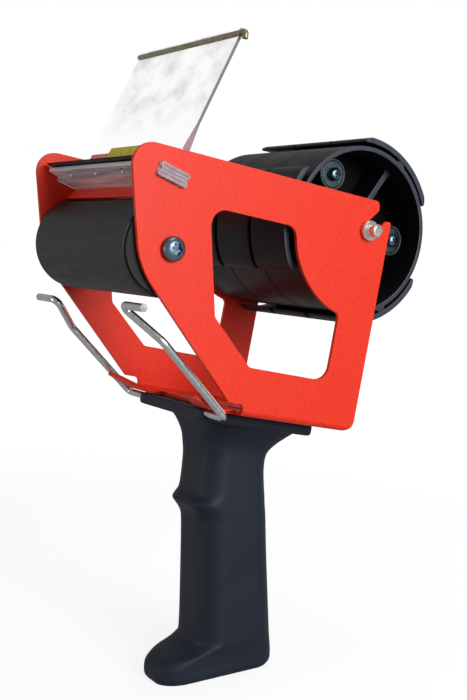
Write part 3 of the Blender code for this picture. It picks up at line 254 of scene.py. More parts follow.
def startMaterial(name, **settings):
    finish = bpy.data.materials.new(name)
    finish.use_nodes = True
    shader = finish.node_tree.nodes["Principled BSDF"]
    for key, value in settings.items():
        shader.inputs[socketNames[key]].default_value = value
    return finish, finish.node_tree, shader


socketNames = {"roughness": "Roughness", "metallic": "Metallic", "specular": "Specular IOR Level",
               "ior": "IOR", "clear": "Transmission Weight", "alpha": "Alpha", "colour": "Base Color",
               "glow": "Emission Color"}


def objectPlace(tree):
    return addNode(tree, "ShaderNodeTexCoord").outputs["Object"]


def mixColours(tree, share, first, second):
    return addNode(tree, "ShaderNodeMix", {"data_type": "RGBA", 6: fromHex(first), 7: fromHex(second)},
                   {0: share}).outputs[2]


def ramp(tree, source, low, high, outLow=0.0, outHigh=1.0):
    limits = {"From Min": low, "From Max": high, "To Min": outLow, "To Max": outHigh}
    return addNode(tree, "ShaderNodeMapRange", limits, {"Value": source}).outputs["Result"]


def noise(tree, size, detail=3.0, grain=0.5, stretch=None):  # size is the width of one blotch in metres
    source = objectPlace(tree)
    if stretch:
        source = addNode(tree, "ShaderNodeMapping", {"Scale": stretch}, {"Vector": source}).outputs["Vector"]
    return addNode(tree, "ShaderNodeTexNoise", {"Scale": 1 / size, "Detail": detail, "Roughness": grain},
                   {"Vector": source}).outputs["Fac"]


def bump(tree, shader, height, depth, strength=1.0):
    node = addNode(tree, "ShaderNodeBump", {"Strength": strength, "Distance": depth}, {"Height": height})
    tree.links.new(node.outputs["Normal"], shader.inputs["Normal"])


def vary(tree, shader, key, source, span, limits):  # a socket that follows a pattern between two limits
    tree.links.new(ramp(tree, source, *span, *limits), shader.inputs[socketNames[key]])


def tint(tree, shader, source, span, first, second):  # base colour that follows a pattern
    tree.links.new(mixColours(tree, ramp(tree, source, *span), first, second), shader.inputs["Base Color"])


def powderCoat():  # thick red polyester powder with a fine wrinkle
    finish, tree, shader = startMaterial("redPowderCoat", specular=0.4)
    wrinkle = noise(tree, 0.62 * mm, 2.0)
    tint(tree, shader, wrinkle, (0.3, 0.7), "#DA2408", "#F4340F")
    vary(tree, shader, "roughness", wrinkle, (0.35, 0.65), (0.42, 0.56))
    bump(tree, shader, wrinkle, 0.1 * mm, 0.9)
    return finish


def mouldedGrip():  # black ABS from a spark-eroded mould: satin, faint handling marks; its slight blue is a painted reflection of bluish light
    finish, tree, shader = startMaterial("blackMouldedGrip", specular=0.3)
    patch = noise(tree, 30 * mm)
    # painted reflection: both tones are tinted blue for the bluish light off the sides
    tint(tree, shader, patch, (0.3, 0.7), "#0C1420", "#141F2E")
    vary(tree, shader, "roughness", patch, (0.35, 0.7), (0.52, 0.62))
    bump(tree, shader, noise(tree, 0.8 * mm, 2.0), 0.03 * mm, 0.5)
    return finish


def drumPlastic():  # black polypropylene: smooth moulding with a soft gloss
    finish, tree, shader = startMaterial("blackDrumPlastic", specular=0.3)
    patch = noise(tree, 16 * mm, 4.0)
    tint(tree, shader, patch, (0.3, 0.7), "#08090B", "#0D0E11")
    vary(tree, shader, "roughness", patch, (0.3, 0.7), (0.42, 0.56))
    bump(tree, shader, noise(tree, 3 * mm), 0.02 * mm, 0.4)
    return finish


def rollerRubber():  # ground rubber: matt dark grey with light scuffs round the roller
    finish, tree, shader = startMaterial("groundRollerRubber")
    scuff = noise(tree, 6 * mm, 6.0, 0.65, (0.5, 2.2, 2.2))
    tint(tree, shader, scuff, (0.45, 0.75), "#080808", "#181716")
    vary(tree, shader, "roughness", scuff, (0.35, 0.7), (0.48, 0.64))
    bump(tree, shader, noise(tree, 1.1 * mm), 0.05 * mm, 0.6)
    return finish


def clearPlastic():  # clear moulding with flow streaks along it and haze from handling
    finish, tree, shader = startMaterial("clearHolderPlastic", clear=0.3, specular=0.7, ior=1.49)
    streak = noise(tree, 3.2 * mm, 2.0, stretch=(0.12, 1.0, 1.6))
    tint(tree, shader, streak, (0.4, 0.62), "#FFFCFC", "#CFC9D0")
    wave = noise(tree, 9 * mm, 2.0)
    vary(tree, shader, "roughness", wave, (0.4, 0.8), (0.14, 0.26))
    bump(tree, shader, wave, 0.04 * mm, 0.35)
    return finish


def heightOf(tree):
    return addNode(tree, "ShaderNodeSeparateXYZ", links={0: objectPlace(tree)}).outputs["Z"]


def smudgedFlap():  # clear leaf, greyish brown smudges on its upper two thirds
    finish, tree, shader = startMaterial("smudgedClearLeaf", ior=1.49)
    upper = ramp(tree, heightOf(tree), 224 * mm, 238 * mm)
    dirt = maths(tree, "MULTIPLY", upper, ramp(tree, noise(tree, 11 * mm, 5.0, 0.62), 0.42, 0.68))
    speck = maths(tree, "MULTIPLY", dirt, ramp(tree, noise(tree, 2.2 * mm), 0.3, 0.7, 0.55, 1.0))
    tree.links.new(mixColours(tree, speck, "#F4F4F2", "#B2A597"), shader.inputs["Base Color"])
    vary(tree, shader, "alpha", speck, (0.0, 1.0), (0.03, 0.34))
    vary(tree, shader, "roughness", speck, (0.0, 1.0), (0.06, 0.3))
    return finish


def leafEdge():  # the cut edge of the leaf, where the light in the plastic comes out grey
    finish, tree, shader = startMaterial("clearLeafEdge", roughness=0.25, alpha=0.92)
    tint(tree, shader, heightOf(tree), (221 * mm, 226 * mm), "#96707E", "#60645F")
    return finish


def plainCoat(name, roughness, light, dark, size, span=(0.3, 0.7)):  # two tones in soft blotches
    finish, tree, shader = startMaterial(name, roughness=roughness)
    tint(tree, shader, noise(tree, size), span, light, dark)
    return finish


def platedSteel(name, light, dark, roughness, stretch):  # zinc-plated or turned steel with drawn streaks
    finish, tree, shader = startMaterial(name, metallic=1.0)
    streak = noise(tree, 1.6 * mm, 4.0, 0.6, stretch)
    tint(tree, shader, streak, (0.3, 0.7), dark, light)
    vary(tree, shader, "roughness", streak, (0.3, 0.7), (roughness - 0.06, roughness + 0.1))
    bump(tree, shader, streak, 0.006 * mm, 0.3)
    return finish


redCoat = powderCoat()
gripPlastic = mouldedGrip()
drumBlack = drumPlastic()
# painted shade: a darker, matt colour for the shade inside the drum's hollow
drumInsidePaintedShade = startMaterial("mattDrumInside", roughness=0.85, specular=0.15, colour=fromHex("#060607"))[0]
# painted light: a lighter blue-grey for the lit look of the drum's sideways faces
drumEdgePaintedLight = plainCoat("wornDrumEdge", 0.4, "#272C36", "#353C49", 5 * mm)
rubber = rollerRubber()
clearHolder = clearPlastic()
clearLeaf = smudgedFlap()
clearEdge = leafEdge()
frosted = plainCoat("frostedTabEnd", 0.5, "#AD97A1", "#8F7A85", 1.6 * mm)
zincWire = platedSteel("zincPlatedWire", "#CDD2D1", "#BDC2C1", 0.24, (0.2, 0.6, 0.6))
screwSteel = platedSteel("blueZincScrew", "#73879A", "#5F7385", 0.26, (0.4, 0.4, 0.4))
pinSteel = platedSteel("brightPin", "#E2E6E8", "#C9CED2", 0.45, (0.4, 0.4, 0.4))
washerSteel = platedSteel("tealZincWasher", "#5F7679", "#4C6165", 0.3, (0.3, 0.3, 0.3))
axleSteel = platedSteel("turnedAxleSteel", "#E4E2DE", "#CFCDC9", 0.26, (2.5, 0.5, 0.5))
bladeSteel = platedSteel("blackenedBladeSteel", "#2E2E31", "#17171A", 0.38, (0.4, 2.0, 2.0))
rodBrass = platedSteel("dullBrassRod", "#A39C70", "#777052", 0.4, (0.3, 1.5, 1.5))
yellowFilm = plainCoat("yellowLabelFilm", 0.45, "#DCCB08", "#C0B008", 2.4 * mm, (0.35, 0.65))
pinkFilm = plainCoat("pinkLabelFilm", 0.45, "#E88B78", "#D9705E", 5 * mm, (0.35, 0.65))
print("materials made")


# Camera, floor and light

studio = {"azimuth": 56.477, "elevation": 7.263, "distance": 471.15 * mm, "lens": 83.25, "roll": -0.12,
          "target": (-12.34 * mm, 13.67 * mm, 134.28 * mm), "lampsLookAt": (0, 0, 0.15), "lampSize": 0.5,
          "floorSize": 6, "floorGrey": "#707070", "shadowReach": (0.3, 0.8), "shadowLight": 0.86}
lamps = {  # place and watts: a broad key from the right, a weak front light, the top and the back
    "keyLight": ((0.95, 0.1, 0.42), 9.0),
    "frontLight": ((-0.25, -1.0, 0.2), 2.4),
    "topLight": ((0.1, 0.1, 1.1), 1.8),
    "backLight": ((-0.4, 0.8, 0.35), 1.2),
}


def lookFrom(place, target, roll=0.0):
    aim = (Vector(target) - Vector(place)).to_track_quat("-Z", "Y")
    return (aim @ Quaternion((0, 0, 1), roll)).to_euler()


def stagePiece(name, data, location, rotation):
    piece = bpy.data.objects.new(name, data)
    piece.location = location
    piece.rotation_euler = rotation
    bpy.context.scene.collection.objects.link(piece)
    return piece


def whiteToTheEye(tree, diffuse, glossy):  # strength 1 straight from the camera or through clear plastic
    path = addNode(tree, "ShaderNodeLightPath").outputs
    straight = maths(tree, "MAXIMUM", path["Is Camera Ray"], path["Is Transmission Ray"])
    return maths(tree, "MAXIMUM", straight, ramp(tree, path["Is Glossy Ray"], 0.0, 1.0, diffuse, glossy))


def setCamera():
    azimuth, elevation = math.radians(studio["azimuth"]), math.radians(studio["elevation"])
    aim = Vector((math.sin(azimuth) * math.cos(elevation), -math.cos(azimuth) * math.cos(elevation),
                  math.sin(elevation)))
    lens = bpy.data.cameras.new("productCamera")
    lens.lens = studio["lens"]
    lens.sensor_fit = "HORIZONTAL"
    lens.sensor_width = 36
    lens.clip_start = 0.01
    eye = Vector(studio["target"]) + aim * studio["distance"]
    turn = lookFrom(eye, studio["target"], math.radians(studio["roll"]))
    bpy.context.scene.camera = stagePiece("productCamera", lens, eye, turn)


def setLights():
    for name, (lampPlace, watts) in lamps.items():
        area = bpy.data.lights.new(name, "AREA")
        area.energy = watts
        area.size = studio["lampSize"]
        stagePiece(name, area, lampPlace, lookFrom(lampPlace, studio["lampsLookAt"]))
    world = bpy.data.worlds.new("studioWhite")
    world.use_nodes = True
    sky = world.node_tree.nodes["Background"]
    sky.inputs["Color"].default_value = (1, 1, 1, 1)
    world.node_tree.links.new(whiteToTheEye(world.node_tree, 0.15, 0.4), sky.inputs["Strength"])
    bpy.context.scene.world = world
    bpy.context.scene.view_settings.view_transform = "Standard"


def setFloor():  # white paper, a little darker near the part, so that its shadow shows
    grid = bmesh.new()
    bmesh.ops.create_grid(grid, x_segments=1, y_segments=1, size=studio["floorSize"])
    floor = toObject("whitePaperFloor", grid)
    paper, tree, shader = startMaterial("whitePaper", roughness=0.9, colour=fromHex(studio["floorGrey"]),
                                        glow=(1, 1, 1, 1))
    away = addNode(tree, "ShaderNodeVectorMath", {"operation": "LENGTH"}, {0: objectPlace(tree)})
    near = ramp(tree, away.outputs["Value"], *studio["shadowReach"], studio["shadowLight"], 1.0)
    light = maths(tree, "MULTIPLY", whiteToTheEye(tree, 0.12, 0.35), near)
    tree.links.new(light, shader.inputs["Emission Strength"])
    floor.data.materials.append(paper)


setCamera()
setLights()
setFloor()
print("camera, lights and floor set")


# Folded steel frame

plate = {"length": 123.5 * mm, "height": 94.3 * mm, "rear": 0.2964, "frontTop": (-0.7036, 0.9608),
         "knee": (-0.6024, 0.5016), "reliefFront": -0.2113, "reliefEnd": -0.1547, "reliefHeight": 4.7 * mm,
         "topRear": (0.2324, 1.0), "small": 1.0 * mm, "slotAngle": math.radians(48.9), "slotHalf": 2.85 * mm,
         "lowerLip": 10.0 * mm, "upperLip": 9.4 * mm, "corner": 5.0 * mm, "screwHole": 2.7 * mm,
         "dimples": (-0.0696, 0.1725)}
roller = {"radius": 18 * mm, "half": 38 * mm, "wall": 3.7 * mm, "lip": 0.9 * mm, "capStart": 26.3 * mm,
          "capLow": 38.3 * mm, "capHigh": 39.5 * mm, "capSeat": 40.2 * mm}


def plateAt(shares):
    return (shares[0] * plate["length"], shares[1] * plate["height"])


holderPlace = plateAt((-0.5522, 0.8643))
holderTilt = math.radians(-10.6)


def holderAt(forward, up):
    return turned(holderPlace, holderTilt, forward, up)


def sideOutline():
    front, knee, topRear = plateAt(plate["frontTop"]), plateAt(plate["knee"]), plateAt(plate["topRear"])
    rear = plate["rear"] * plate["length"]
    angle, half, small, corner = plate["slotAngle"], plate["slotHalf"], plate["small"], plate["corner"]
    lowerLip = turned(drumAxis, angle, plate["lowerLip"], -half)
    upperLip = turned(drumAxis, angle, plate["upperLip"], half)
    reliefEnd = plate["reliefEnd"] * plate["length"]
    below = -1 * mm
    outline = rounded([(*topRear, 0), (*front, 8 * mm), (*knee, 30 * mm),
                       (plate["reliefFront"] * plate["length"], plate["reliefHeight"], small),
                       (reliefEnd, plate["reliefHeight"], 2.3 * mm), (reliefEnd, below, 0),
                       (rear - corner, below, 0)])[1:]
    outline += arc((rear - corner, corner), corner, -math.radians(82), 0, 10)
    outline += rounded([(rear, corner, 0), (rear, lowerLip[1], small), (*lowerLip, small),
                        (*turned(drumAxis, angle, 0, -half), 0)])[1:]
    outline += arc(drumAxis, half, angle - math.pi / 2, angle - 3 * math.pi / 2, 20)[1:-1]
    return outline + rounded([(*turned(drumAxis, angle, 0, half), 0), (*upperLip, small), (*topRear, 4 * mm),
                              (*front, 0)])[:-1]


def windowOutline():
    bow = {"radius": 36 * mm, "from": math.radians(203), "to": math.radians(253)}
    rear, low = plateAt((0.1498, 0.2))
    high = 0.7996 * plate["height"]
    reach = math.sqrt(bow["radius"] ** 2 - (high - drumAxis[1]) ** 2)
    drop = math.sqrt(bow["radius"] ** 2 - (drumAxis[0] - rear) ** 2)
    corners = [(*plateAt((-0.3182, 0.3712)), 3 * mm), (*plateAt((-0.4057, 0.7869)), 6 * mm),
               (drumAxis[0] - reach, high, 5 * mm)]
    corners += [(*point, 0) for point in arc(drumAxis, bow["radius"], bow["from"], bow["to"], 28)]
    corners += [(rear, drumAxis[1] - drop, 3 * mm), (rear, low, 6 * mm),
                (-0.1595 * plate["length"], low, 3 * mm)]
    return rounded(corners)


def channelProfile():
    inner, outer, thick, bend, top = sheet["inner"], sheet["outer"], sheet["thick"], sheet["bend"], 0.115
    return (rounded([(-outer, top, 0), (-outer, 0, bend), (outer, 0, bend), (outer, top, 0)], 8)
            + rounded([(inner, top, 0), (inner, thick, bend - thick), (-inner, thick, bend - thick),
                       (-inner, top, 0)], 8))



tab = {"outer": 36.3 * mm, "root": 18 * mm, "tip": 29 * mm, "length": 13.4 * mm, "angle": math.radians(20),
       "bendAt": -0.219 * plate["length"], "bend": 2.2 * mm, "trim": 0.9 * mm, "bendSteps": 8,
       "bendShare": 0.12}


def frontTab(side):
    thick, steps = sheet["thick"], tab["bendSteps"]
    stations = [((plate["reliefEnd"] * plate["length"] + thick, 0), 0, 0.0)]
    for k in range(steps + 1):  # bend line drawn as an arc
        angle = tab["angle"] * k / steps
        reach = thick + tab["bend"]
        under = (tab["bendAt"] + tab["bend"] / 2 - reach * math.sin(angle), reach - reach * math.cos(angle))
        stations.append((under, angle, tab["bendShare"] * k / steps))
    last = stations[-1][0]
    for along, share in ((0.9, 0.93), (1.0, 1.0)):  # the corners are trimmed near the tip
        reach = (tab["length"] - tab["bend"]) * along
        point = (last[0] - reach * math.cos(tab["angle"]), last[1] + reach * math.sin(tab["angle"]))
        stations.append((point, tab["angle"], share))
    rings = []
    for point, angle, share in stations:
        trim = tab["trim"] if share == 1.0 else 0.0
        inner = side * (tab["root"] + (tab["tip"] - tab["root"]) * share + trim)
        outer = side * (tab["outer"] - trim)
        above = (point[0] + thick * math.sin(angle), point[1] + thick * math.cos(angle))
        rings.append([(inner, *point), (outer, *point), (outer, *above), (inner, *above)])
    return loft("frontTab", rings)


gripScrew = {"across": 19 * mm, "along": 3 * mm, "pitch": 20 * mm, "hole": 2.2 * mm}


def gripScrewPlaces():
    return [(side * gripScrew["across"], gripScrew["along"] + row * gripScrew["pitch"])
            for side in (-1, 1) for row in (-0.5, 0.5)]


def dimple(side, u):  # wedge pressed into the fold
    outer, inner = side * (sheet["outer"] + mm), side * (sheet["outer"] - 0.9 * mm)
    return loft("dimple", [[(outer, u - 2 * mm, -mm), (outer, u + 2 * mm, -mm), (outer, u, 3.2 * mm)],
                           [(inner, u - mm, -mm), (inner, u + mm, -mm), (inner, u, 1.6 * mm)]])


def makeFrame():
    wide = sheet["outer"] + mm
    channel = loft("foldedFrame", [[(x, u, w) for x, w in channelProfile()] for u in (-0.12, 0.06)])
    combine(channel, "INTERSECT", prism("sides", sideOutline(), -wide, wide))
    slot = [(-6.5, -2.9), (6.5, -2.9), (6.5, 2.9), (-6.5, 2.9)]
    tabSlot = rounded([(*holderAt(u * mm, w * mm), plate["small"]) for u, w in slot])
    cut(channel, prism("window", windowOutline(), -wide, wide), prism("tabSlots", tabSlot, -wide, wide),
        crossRod("screwHoles", -wide, wide, plate["screwHole"], rollerAxis))
    bore = [(-mm, gripScrew["hole"]), (3 * mm, gripScrew["hole"])]
    for place in gripScrewPlaces():
        cut(channel, uprightLathe("screwHole", place, bore))
    join(channel, frontTab(-1), frontTab(1))
    for share in plate["dimples"]:
        cut(channel, dimple(-1, share * plate["length"]), dimple(1, share * plate["length"]))
    softenEdges(channel, sheet["edge"])
    dress(tilt(channel), "frame", "red_sheet", redCoat, "sheet_frame")


makeFrame()

guide = {"gap": 0.7 * mm, "thick": 1.0 * mm, "half": 40.2 * mm, "top": -2.9 * mm, "crest": 2 * mm,
         "rear": 12 * mm, "tipAngle": math.radians(112),
         "ear": ((8, -3.4), (11.97, -3.4), (11.97, 4.1), (8, 4.1))}


def makeTapeGuide():  # thin web over the roller; its front lip hangs just clear of the rubber
    thick, top, half = guide["thick"], guide["top"], guide["half"]
    outer = roller["radius"] + guide["gap"] + thick
    tip, tipLow = (polar(rollerAxis, radius, guide["tipAngle"]) for radius in (outer, outer - thick))
    crest, crestLow = holderAt(guide["crest"], top), holderAt(guide["crest"] + thick / 2, top - thick)
    rear, rearLow = holderAt(guide["rear"], top), holderAt(guide["rear"], top - thick)
    corners = [(*tip, 0.3 * mm), (*crest, 1.6 * mm), (*rear, 0.2 * mm), (*rearLow, 0.2 * mm),
               (*crestLow, 0.8 * mm), (*tipLow, 0.3 * mm)]
    web = prism("tapeGuide", rounded(corners, 6), -half, half)
    ear = [holderAt(u * mm, w * mm) for u, w in guide["ear"]]
    for side in (-1, 1):
        join(web, prism("ear", ear, *across(side, half - thick, half - 0.03 * mm)))
    softenEdges(web, 0.15 * mm, 2, 40)
    dress(tilt(web), "frame", "red_sheet", redCoat, "tape_guide")


makeTapeGuide()
print("frame made")


# Repeats: copies of one piece in rows along X and turned about the X axis

def copiesGroup():
    tree = bpy.data.node_groups.new("copiesInRows", "GeometryNodeTree")
    for name, kind in (("Geometry", "Geometry"), ("Piece", "Object"), ("Rows", "Int"), ("Row step", "Float"),
                       ("Around", "Int"), ("Centre", "Vector"), ("Finish", "Material")):
        tree.interface.new_socket(name, in_out="INPUT", socket_type="NodeSocket" + kind)
    tree.interface.new_socket("Geometry", in_out="OUTPUT", socket_type="NodeSocketGeometry")
    given = addNode(tree, "NodeGroupInput").outputs
    share = maths(tree, "DIVIDE", addNode(tree, "GeometryNodeInputIndex").outputs[0], given["Around"])
    middle = maths(tree, "MULTIPLY_ADD", given["Rows"], 0.5, -0.5)
    fromMiddle = maths(tree, "SUBTRACT", maths(tree, "FLOOR", share), middle)
    along = maths(tree, "MULTIPLY", fromMiddle, given["Row step"])
    shift = addNode(tree, "ShaderNodeCombineXYZ", links={"X": along})
    place = addNode(tree, "ShaderNodeVectorMath", {"operation": "ADD"},
                    {0: shift.outputs[0], 1: given["Centre"]})
    turn = addNode(tree, "ShaderNodeCombineXYZ", links={"X": maths(tree, "MULTIPLY", share, 2 * math.pi)})
    whole = maths(tree, "MULTIPLY", given["Rows"], given["Around"])
    points = addNode(tree, "GeometryNodePoints", links={"Count": whole, "Position": place.outputs[0]})
    source = addNode(tree, "GeometryNodeObjectInfo", links={"Object": given["Piece"]})
    copies = addNode(tree, "GeometryNodeInstanceOnPoints",
                     links={"Points": points.outputs[0], "Instance": source.outputs["Geometry"],
                            "Rotation": turn.outputs[0]})
    real = addNode(tree, "GeometryNodeRealizeInstances", links={0: copies.outputs[0]})
    joined = addNode(tree, "GeometryNodeJoinGeometry")
    tree.links.new(given["Geometry"], joined.inputs[0])
    tree.links.new(real.outputs[0], joined.inputs[0])
    coat = addNode(tree, "GeometryNodeSetMaterial", links={0: joined.outputs[0], "Material": given["Finish"]})
    result = addNode(tree, "NodeGroupOutput")
    tree.links.new(coat.outputs[0], result.inputs[0])
    return tree


copiesTree = copiesGroup()


def addCopies(piece, source, finish, rows=1, step=0.0, around=1, centre=(0, 0, 0)):
    repeat = piece.modifiers.new("copies", "NODES")
    repeat.node_group = copiesTree
    values = {"Piece": source, "Rows": rows, "Row step": float(step), "Around": around,
              "Centre": tuple(float(c) for c in centre), "Finish": finish}
    for item in copiesTree.interface.items_tree:
        if item.in_out == "INPUT" and item.name in values:
            repeat[item.identifier] = values[item.name]
    plainMesh(piece)
    bpy.data.objects.remove(source)
    return piece


def emptyPiece(name):
    piece = bpy.data.objects.new(name, bpy.data.meshes.new(name))
    bpy.context.scene.collection.objects.link(piece)
    return piece


def unite(piece, *others):  # one mesh of several, with no Boolean
    bm = bmesh.new()
    for part in (piece, *others):
        bm.from_mesh(part.data)
    for part in others:
        bpy.data.objects.remove(part)
    bm.to_mesh(piece.data)
    bm.free()
    return piece


def smoothWire(name, points, radius, sides=8):
    curve = bpy.data.curves.new(name, "CURVE")
    curve.dimensions = "3D"
    curve.bevel_depth = radius
    curve.bevel_resolution = sides
    curve.use_fill_caps = True
    spline = curve.splines.new("POLY")
    spline.points.add(len(points) - 1)
    for target, point in zip(spline.points, points):
        target.co = (*point, 1)
    wire = bpy.data.objects.new(name, curve)
    bpy.context.scene.collection.objects.link(wire)
    wire = plainMesh(wire)
    bm = bmesh.new()
    bm.from_mesh(wire.data)
    bmesh.ops.remove_doubles(bm, verts=bm.verts, dist=radius / 100)
    bmesh.ops.recalc_face_normals(bm, faces=bm.faces)
    bm.to_mesh(wire.data)
    bm.free()
    return wire


# Press roller

nicks = {"angle": math.radians(192), "turn": 0.05, "places": ((34.2, 17.4, -0.6), (36.8, 17.2, -1.4),
                                                              (35.9, 17.6, 0.7), (34.9, 17.9, 0.2))}


def makeRoller():
    half, radius = roller["half"], roller["radius"]
    inner, edge = radius - roller["wall"], radius - roller["lip"]
    profile = softProfile([(-half, inner), (-half, radius), (half, radius), (half, inner)], 0.5 * mm, 5)
    sleeve = lathe("rollerSleeve", profile, rollerAxis, 160, closed=True)
    for x, reach, side in nicks["places"]:  # a few small gouges in the edge of the rubber
        centre = polar(rollerAxis, (reach + 0.75) * mm, nicks["angle"] + side * nicks["turn"])
        gouge = [((x - 0.7) * mm, 0.1 * mm), (x * mm, 0.55 * mm), ((x + 0.8) * mm, 0.1 * mm)]
        cut(sleeve, lathe("gouge", gouge, centre, 7))
    dress(tilt(sleeve), "roller", "roller_rubber", rubber, "roller_sleeve")
    low, high, seat, start = roller["capLow"], roller["capHigh"], roller["capSeat"], roller["capStart"]
    corners = [(start, 4.4 * mm), (start, 11 * mm), (low, 11 * mm), (low, edge), (high, edge),
               (high, 6.2 * mm), (seat, 6.2 * mm), (seat, 4.4 * mm)]
    for side, name in ((1, "Right"), (-1, "Left")):
        profile = softProfile([(side * x, r) for x, r in corners], 0.3 * mm)
        cap = lathe("rollerCap_" + name, profile, rollerAxis, 120, closed=True)
        dress(tilt(cap), "roller", "drum_black", drumBlack, "roller_cap_" + name.lower())


makeRoller()

rollerScrew = {"seat": 42.3 * mm, "head": 4.6 * mm, "rise": 3.6 * mm, "shank": 2.4 * mm, "low": 28.5 * mm,
               "dome": 0.86, "domeSteps": 14, "recess": 2.15 * mm, "lobe": 0.15, "depth": 1.7 * mm}


def makeRollerScrew(name, node, side):  # button head with a six-lobe recess
    seat, head, rise, steps = (rollerScrew[key] for key in ("seat", "head", "rise", "domeSteps"))
    low, shank, soft = rollerScrew["low"], rollerScrew["shank"], 0.25 * mm
    crown = seat + rise
    profile = [(low, 1.8 * mm), (low + 0.5 * mm, shank), (seat, shank), (seat, head - soft),
               (seat + soft, head)]
    for k in range(steps + 1):
        angle = math.pi / 2 * k / steps * rollerScrew["dome"]
        share = 1 - math.sin(angle) / math.sin(math.pi / 2 * rollerScrew["dome"])
        profile.append((crown - rise * 0.72 * share, head * math.cos(angle) ** 0.8))
    screw = lathe(name, [(side * x, r) for x, r in profile], rollerAxis, 64)
    angles = [2 * math.pi * k / 72 for k in range(72)]
    lobe, wide = rollerScrew["lobe"], rollerScrew["recess"]
    lobes = [polar(rollerAxis, wide * (1 + lobe * math.cos(6 * a)), a) for a in angles]
    cut(screw, prism("recess", lobes, *across(side, crown - rollerScrew["depth"], crown + mm)))
    softenEdges(screw, 0.1 * mm, 2, 50)
    dress(tilt(screw), "frame", "bright_steel", screwSteel, node)


makeRollerScrew("rollerScrewRight", "roller_screw_right", 1)
makeRollerScrew("rollerScrewLeft", "roller_screw_left", -1)
print("roller made")


# Drum for the tape core

drum = {"outer": 38.1 * mm, "barrel": 34 * mm, "wall": 2.0 * mm, "half": 38 * mm, "gap": 0.3 * mm,
        "finger": 2.4 * mm, "fingerHalf": 11.6 * mm, "spread": math.radians(34), "middle": math.radians(63.4),
        "tuck": 1.1 * mm, "fingerSteps": 44, "fingerEnd": 0.72, "endLean": 0.012, "rib": 3.4 * mm,
        "hub": 8.6 * mm, "bore": 4.35 * mm, "hubFace": 8 * mm, "discFace": 21.5 * mm, "disc": 2.4 * mm,
        "spoke": math.radians(61.9), "screwAt": math.radians(121.9), "screwCircle": 24 * mm,
        "screwHole": 1.9 * mm, "boss": 4.6 * mm, "bossFace": 10.2 * mm, "rim": 6.4 * mm,
        "rimInside": 5.5 * mm, "rimRise": 1.3 * mm}
sectionWidth = (2 * drum["half"] - 2 * drum["gap"]) / 3


def fingerShape():  # spring finger round the drum's own axis: a leaf on one rib, its two ends drawn in
    half, outer, thick, count = drum["fingerHalf"], drum["outer"], drum["finger"], drum["fingerSteps"]
    ends = [[(side, drum["fingerEnd"], side * drum["endLean"])] for side in (-1.0, 1.0)]
    stations = ends[0] + [(2 * k / count - 1, 1.0, 0) for k in range(count + 1)] + ends[1]
    rings = []
    for share, size, lean in stations:
        angle = drum["middle"] + drum["spread"] * share
        tuck = drum["tuck"] * max(0.0, (abs(share) - 0.86) / 0.14) ** 1.4
        high = outer - tuck - (thick * (1 - size) / 2)
        low = min(outer - thick + thick * (1 - size) / 2, high - 0.5 * mm)
        wide = half * (1.0 if size == 1.0 else 0.97)
        section = rounded([(-wide, low, 0.35 * mm), (wide, low, 0.35 * mm), (wide, high, 0.45 * mm),
                           (-wide, high, 0.45 * mm)], 3)
        rings.append([(x, *polar((0, 0), r, angle + lean)) for x, r in section])
    leaf = loft("drumFinger", rings)
    flare = 1.3 * mm
    barrel, high, rib = drum["barrel"], outer - thick / 2, drum["rib"] / 2
    side = [(barrel - 0.9 * mm, rib + flare), (barrel, rib + flare), (barrel + flare, rib), (high, rib)]
    outline = [(a, -b) for a, b in side] + side[::-1]
    web = prism("web", [turned((0, 0), drum["middle"], a, b) for a, b in outline], -half + 0.4 * mm,
                half - 0.4 * mm)
    return unite(leaf, softenEdges(web, 0.25 * mm, 2, 20))


def spokeShape(low, high):  # flat spoke with a thicker root at the hub and at the barrel
    reach = (drum["barrel"] - drum["wall"] / 2) / mm
    side = [(4.6, 1.3), (9.4, 2.0), (11.5, 1.3), (reach - 3, 1.3), (reach, 2.1)]
    outline = [(a, -b) for a, b in side] + side[::-1]
    web = prism("spoke", [turned((0, 0), drum["spoke"], a * mm, b * mm) for a, b in outline], low, high)
    return softenEdges(web, 0.3 * mm, 3, 28)


def bossShape(low, high, rimmed):  # tube for the long screw, on the outer face with a rim round its washer
    place = polar((0, 0), drum["screwCircle"], drum["screwAt"])
    hole, boss, rim, inside = drum["screwHole"], drum["boss"], drum["rim"], drum["rimInside"]
    corners = [(low, hole), (low, boss), (high, boss), (high, hole)]
    if rimmed:
        crest = high + drum["rimRise"]
        corners = [(low, hole), (low, rim), (crest, rim), (crest, inside), (high, inside), (high, hole)]
    return lathe("boss", softProfile(corners, 0.25 * mm), place, 48, closed=True)


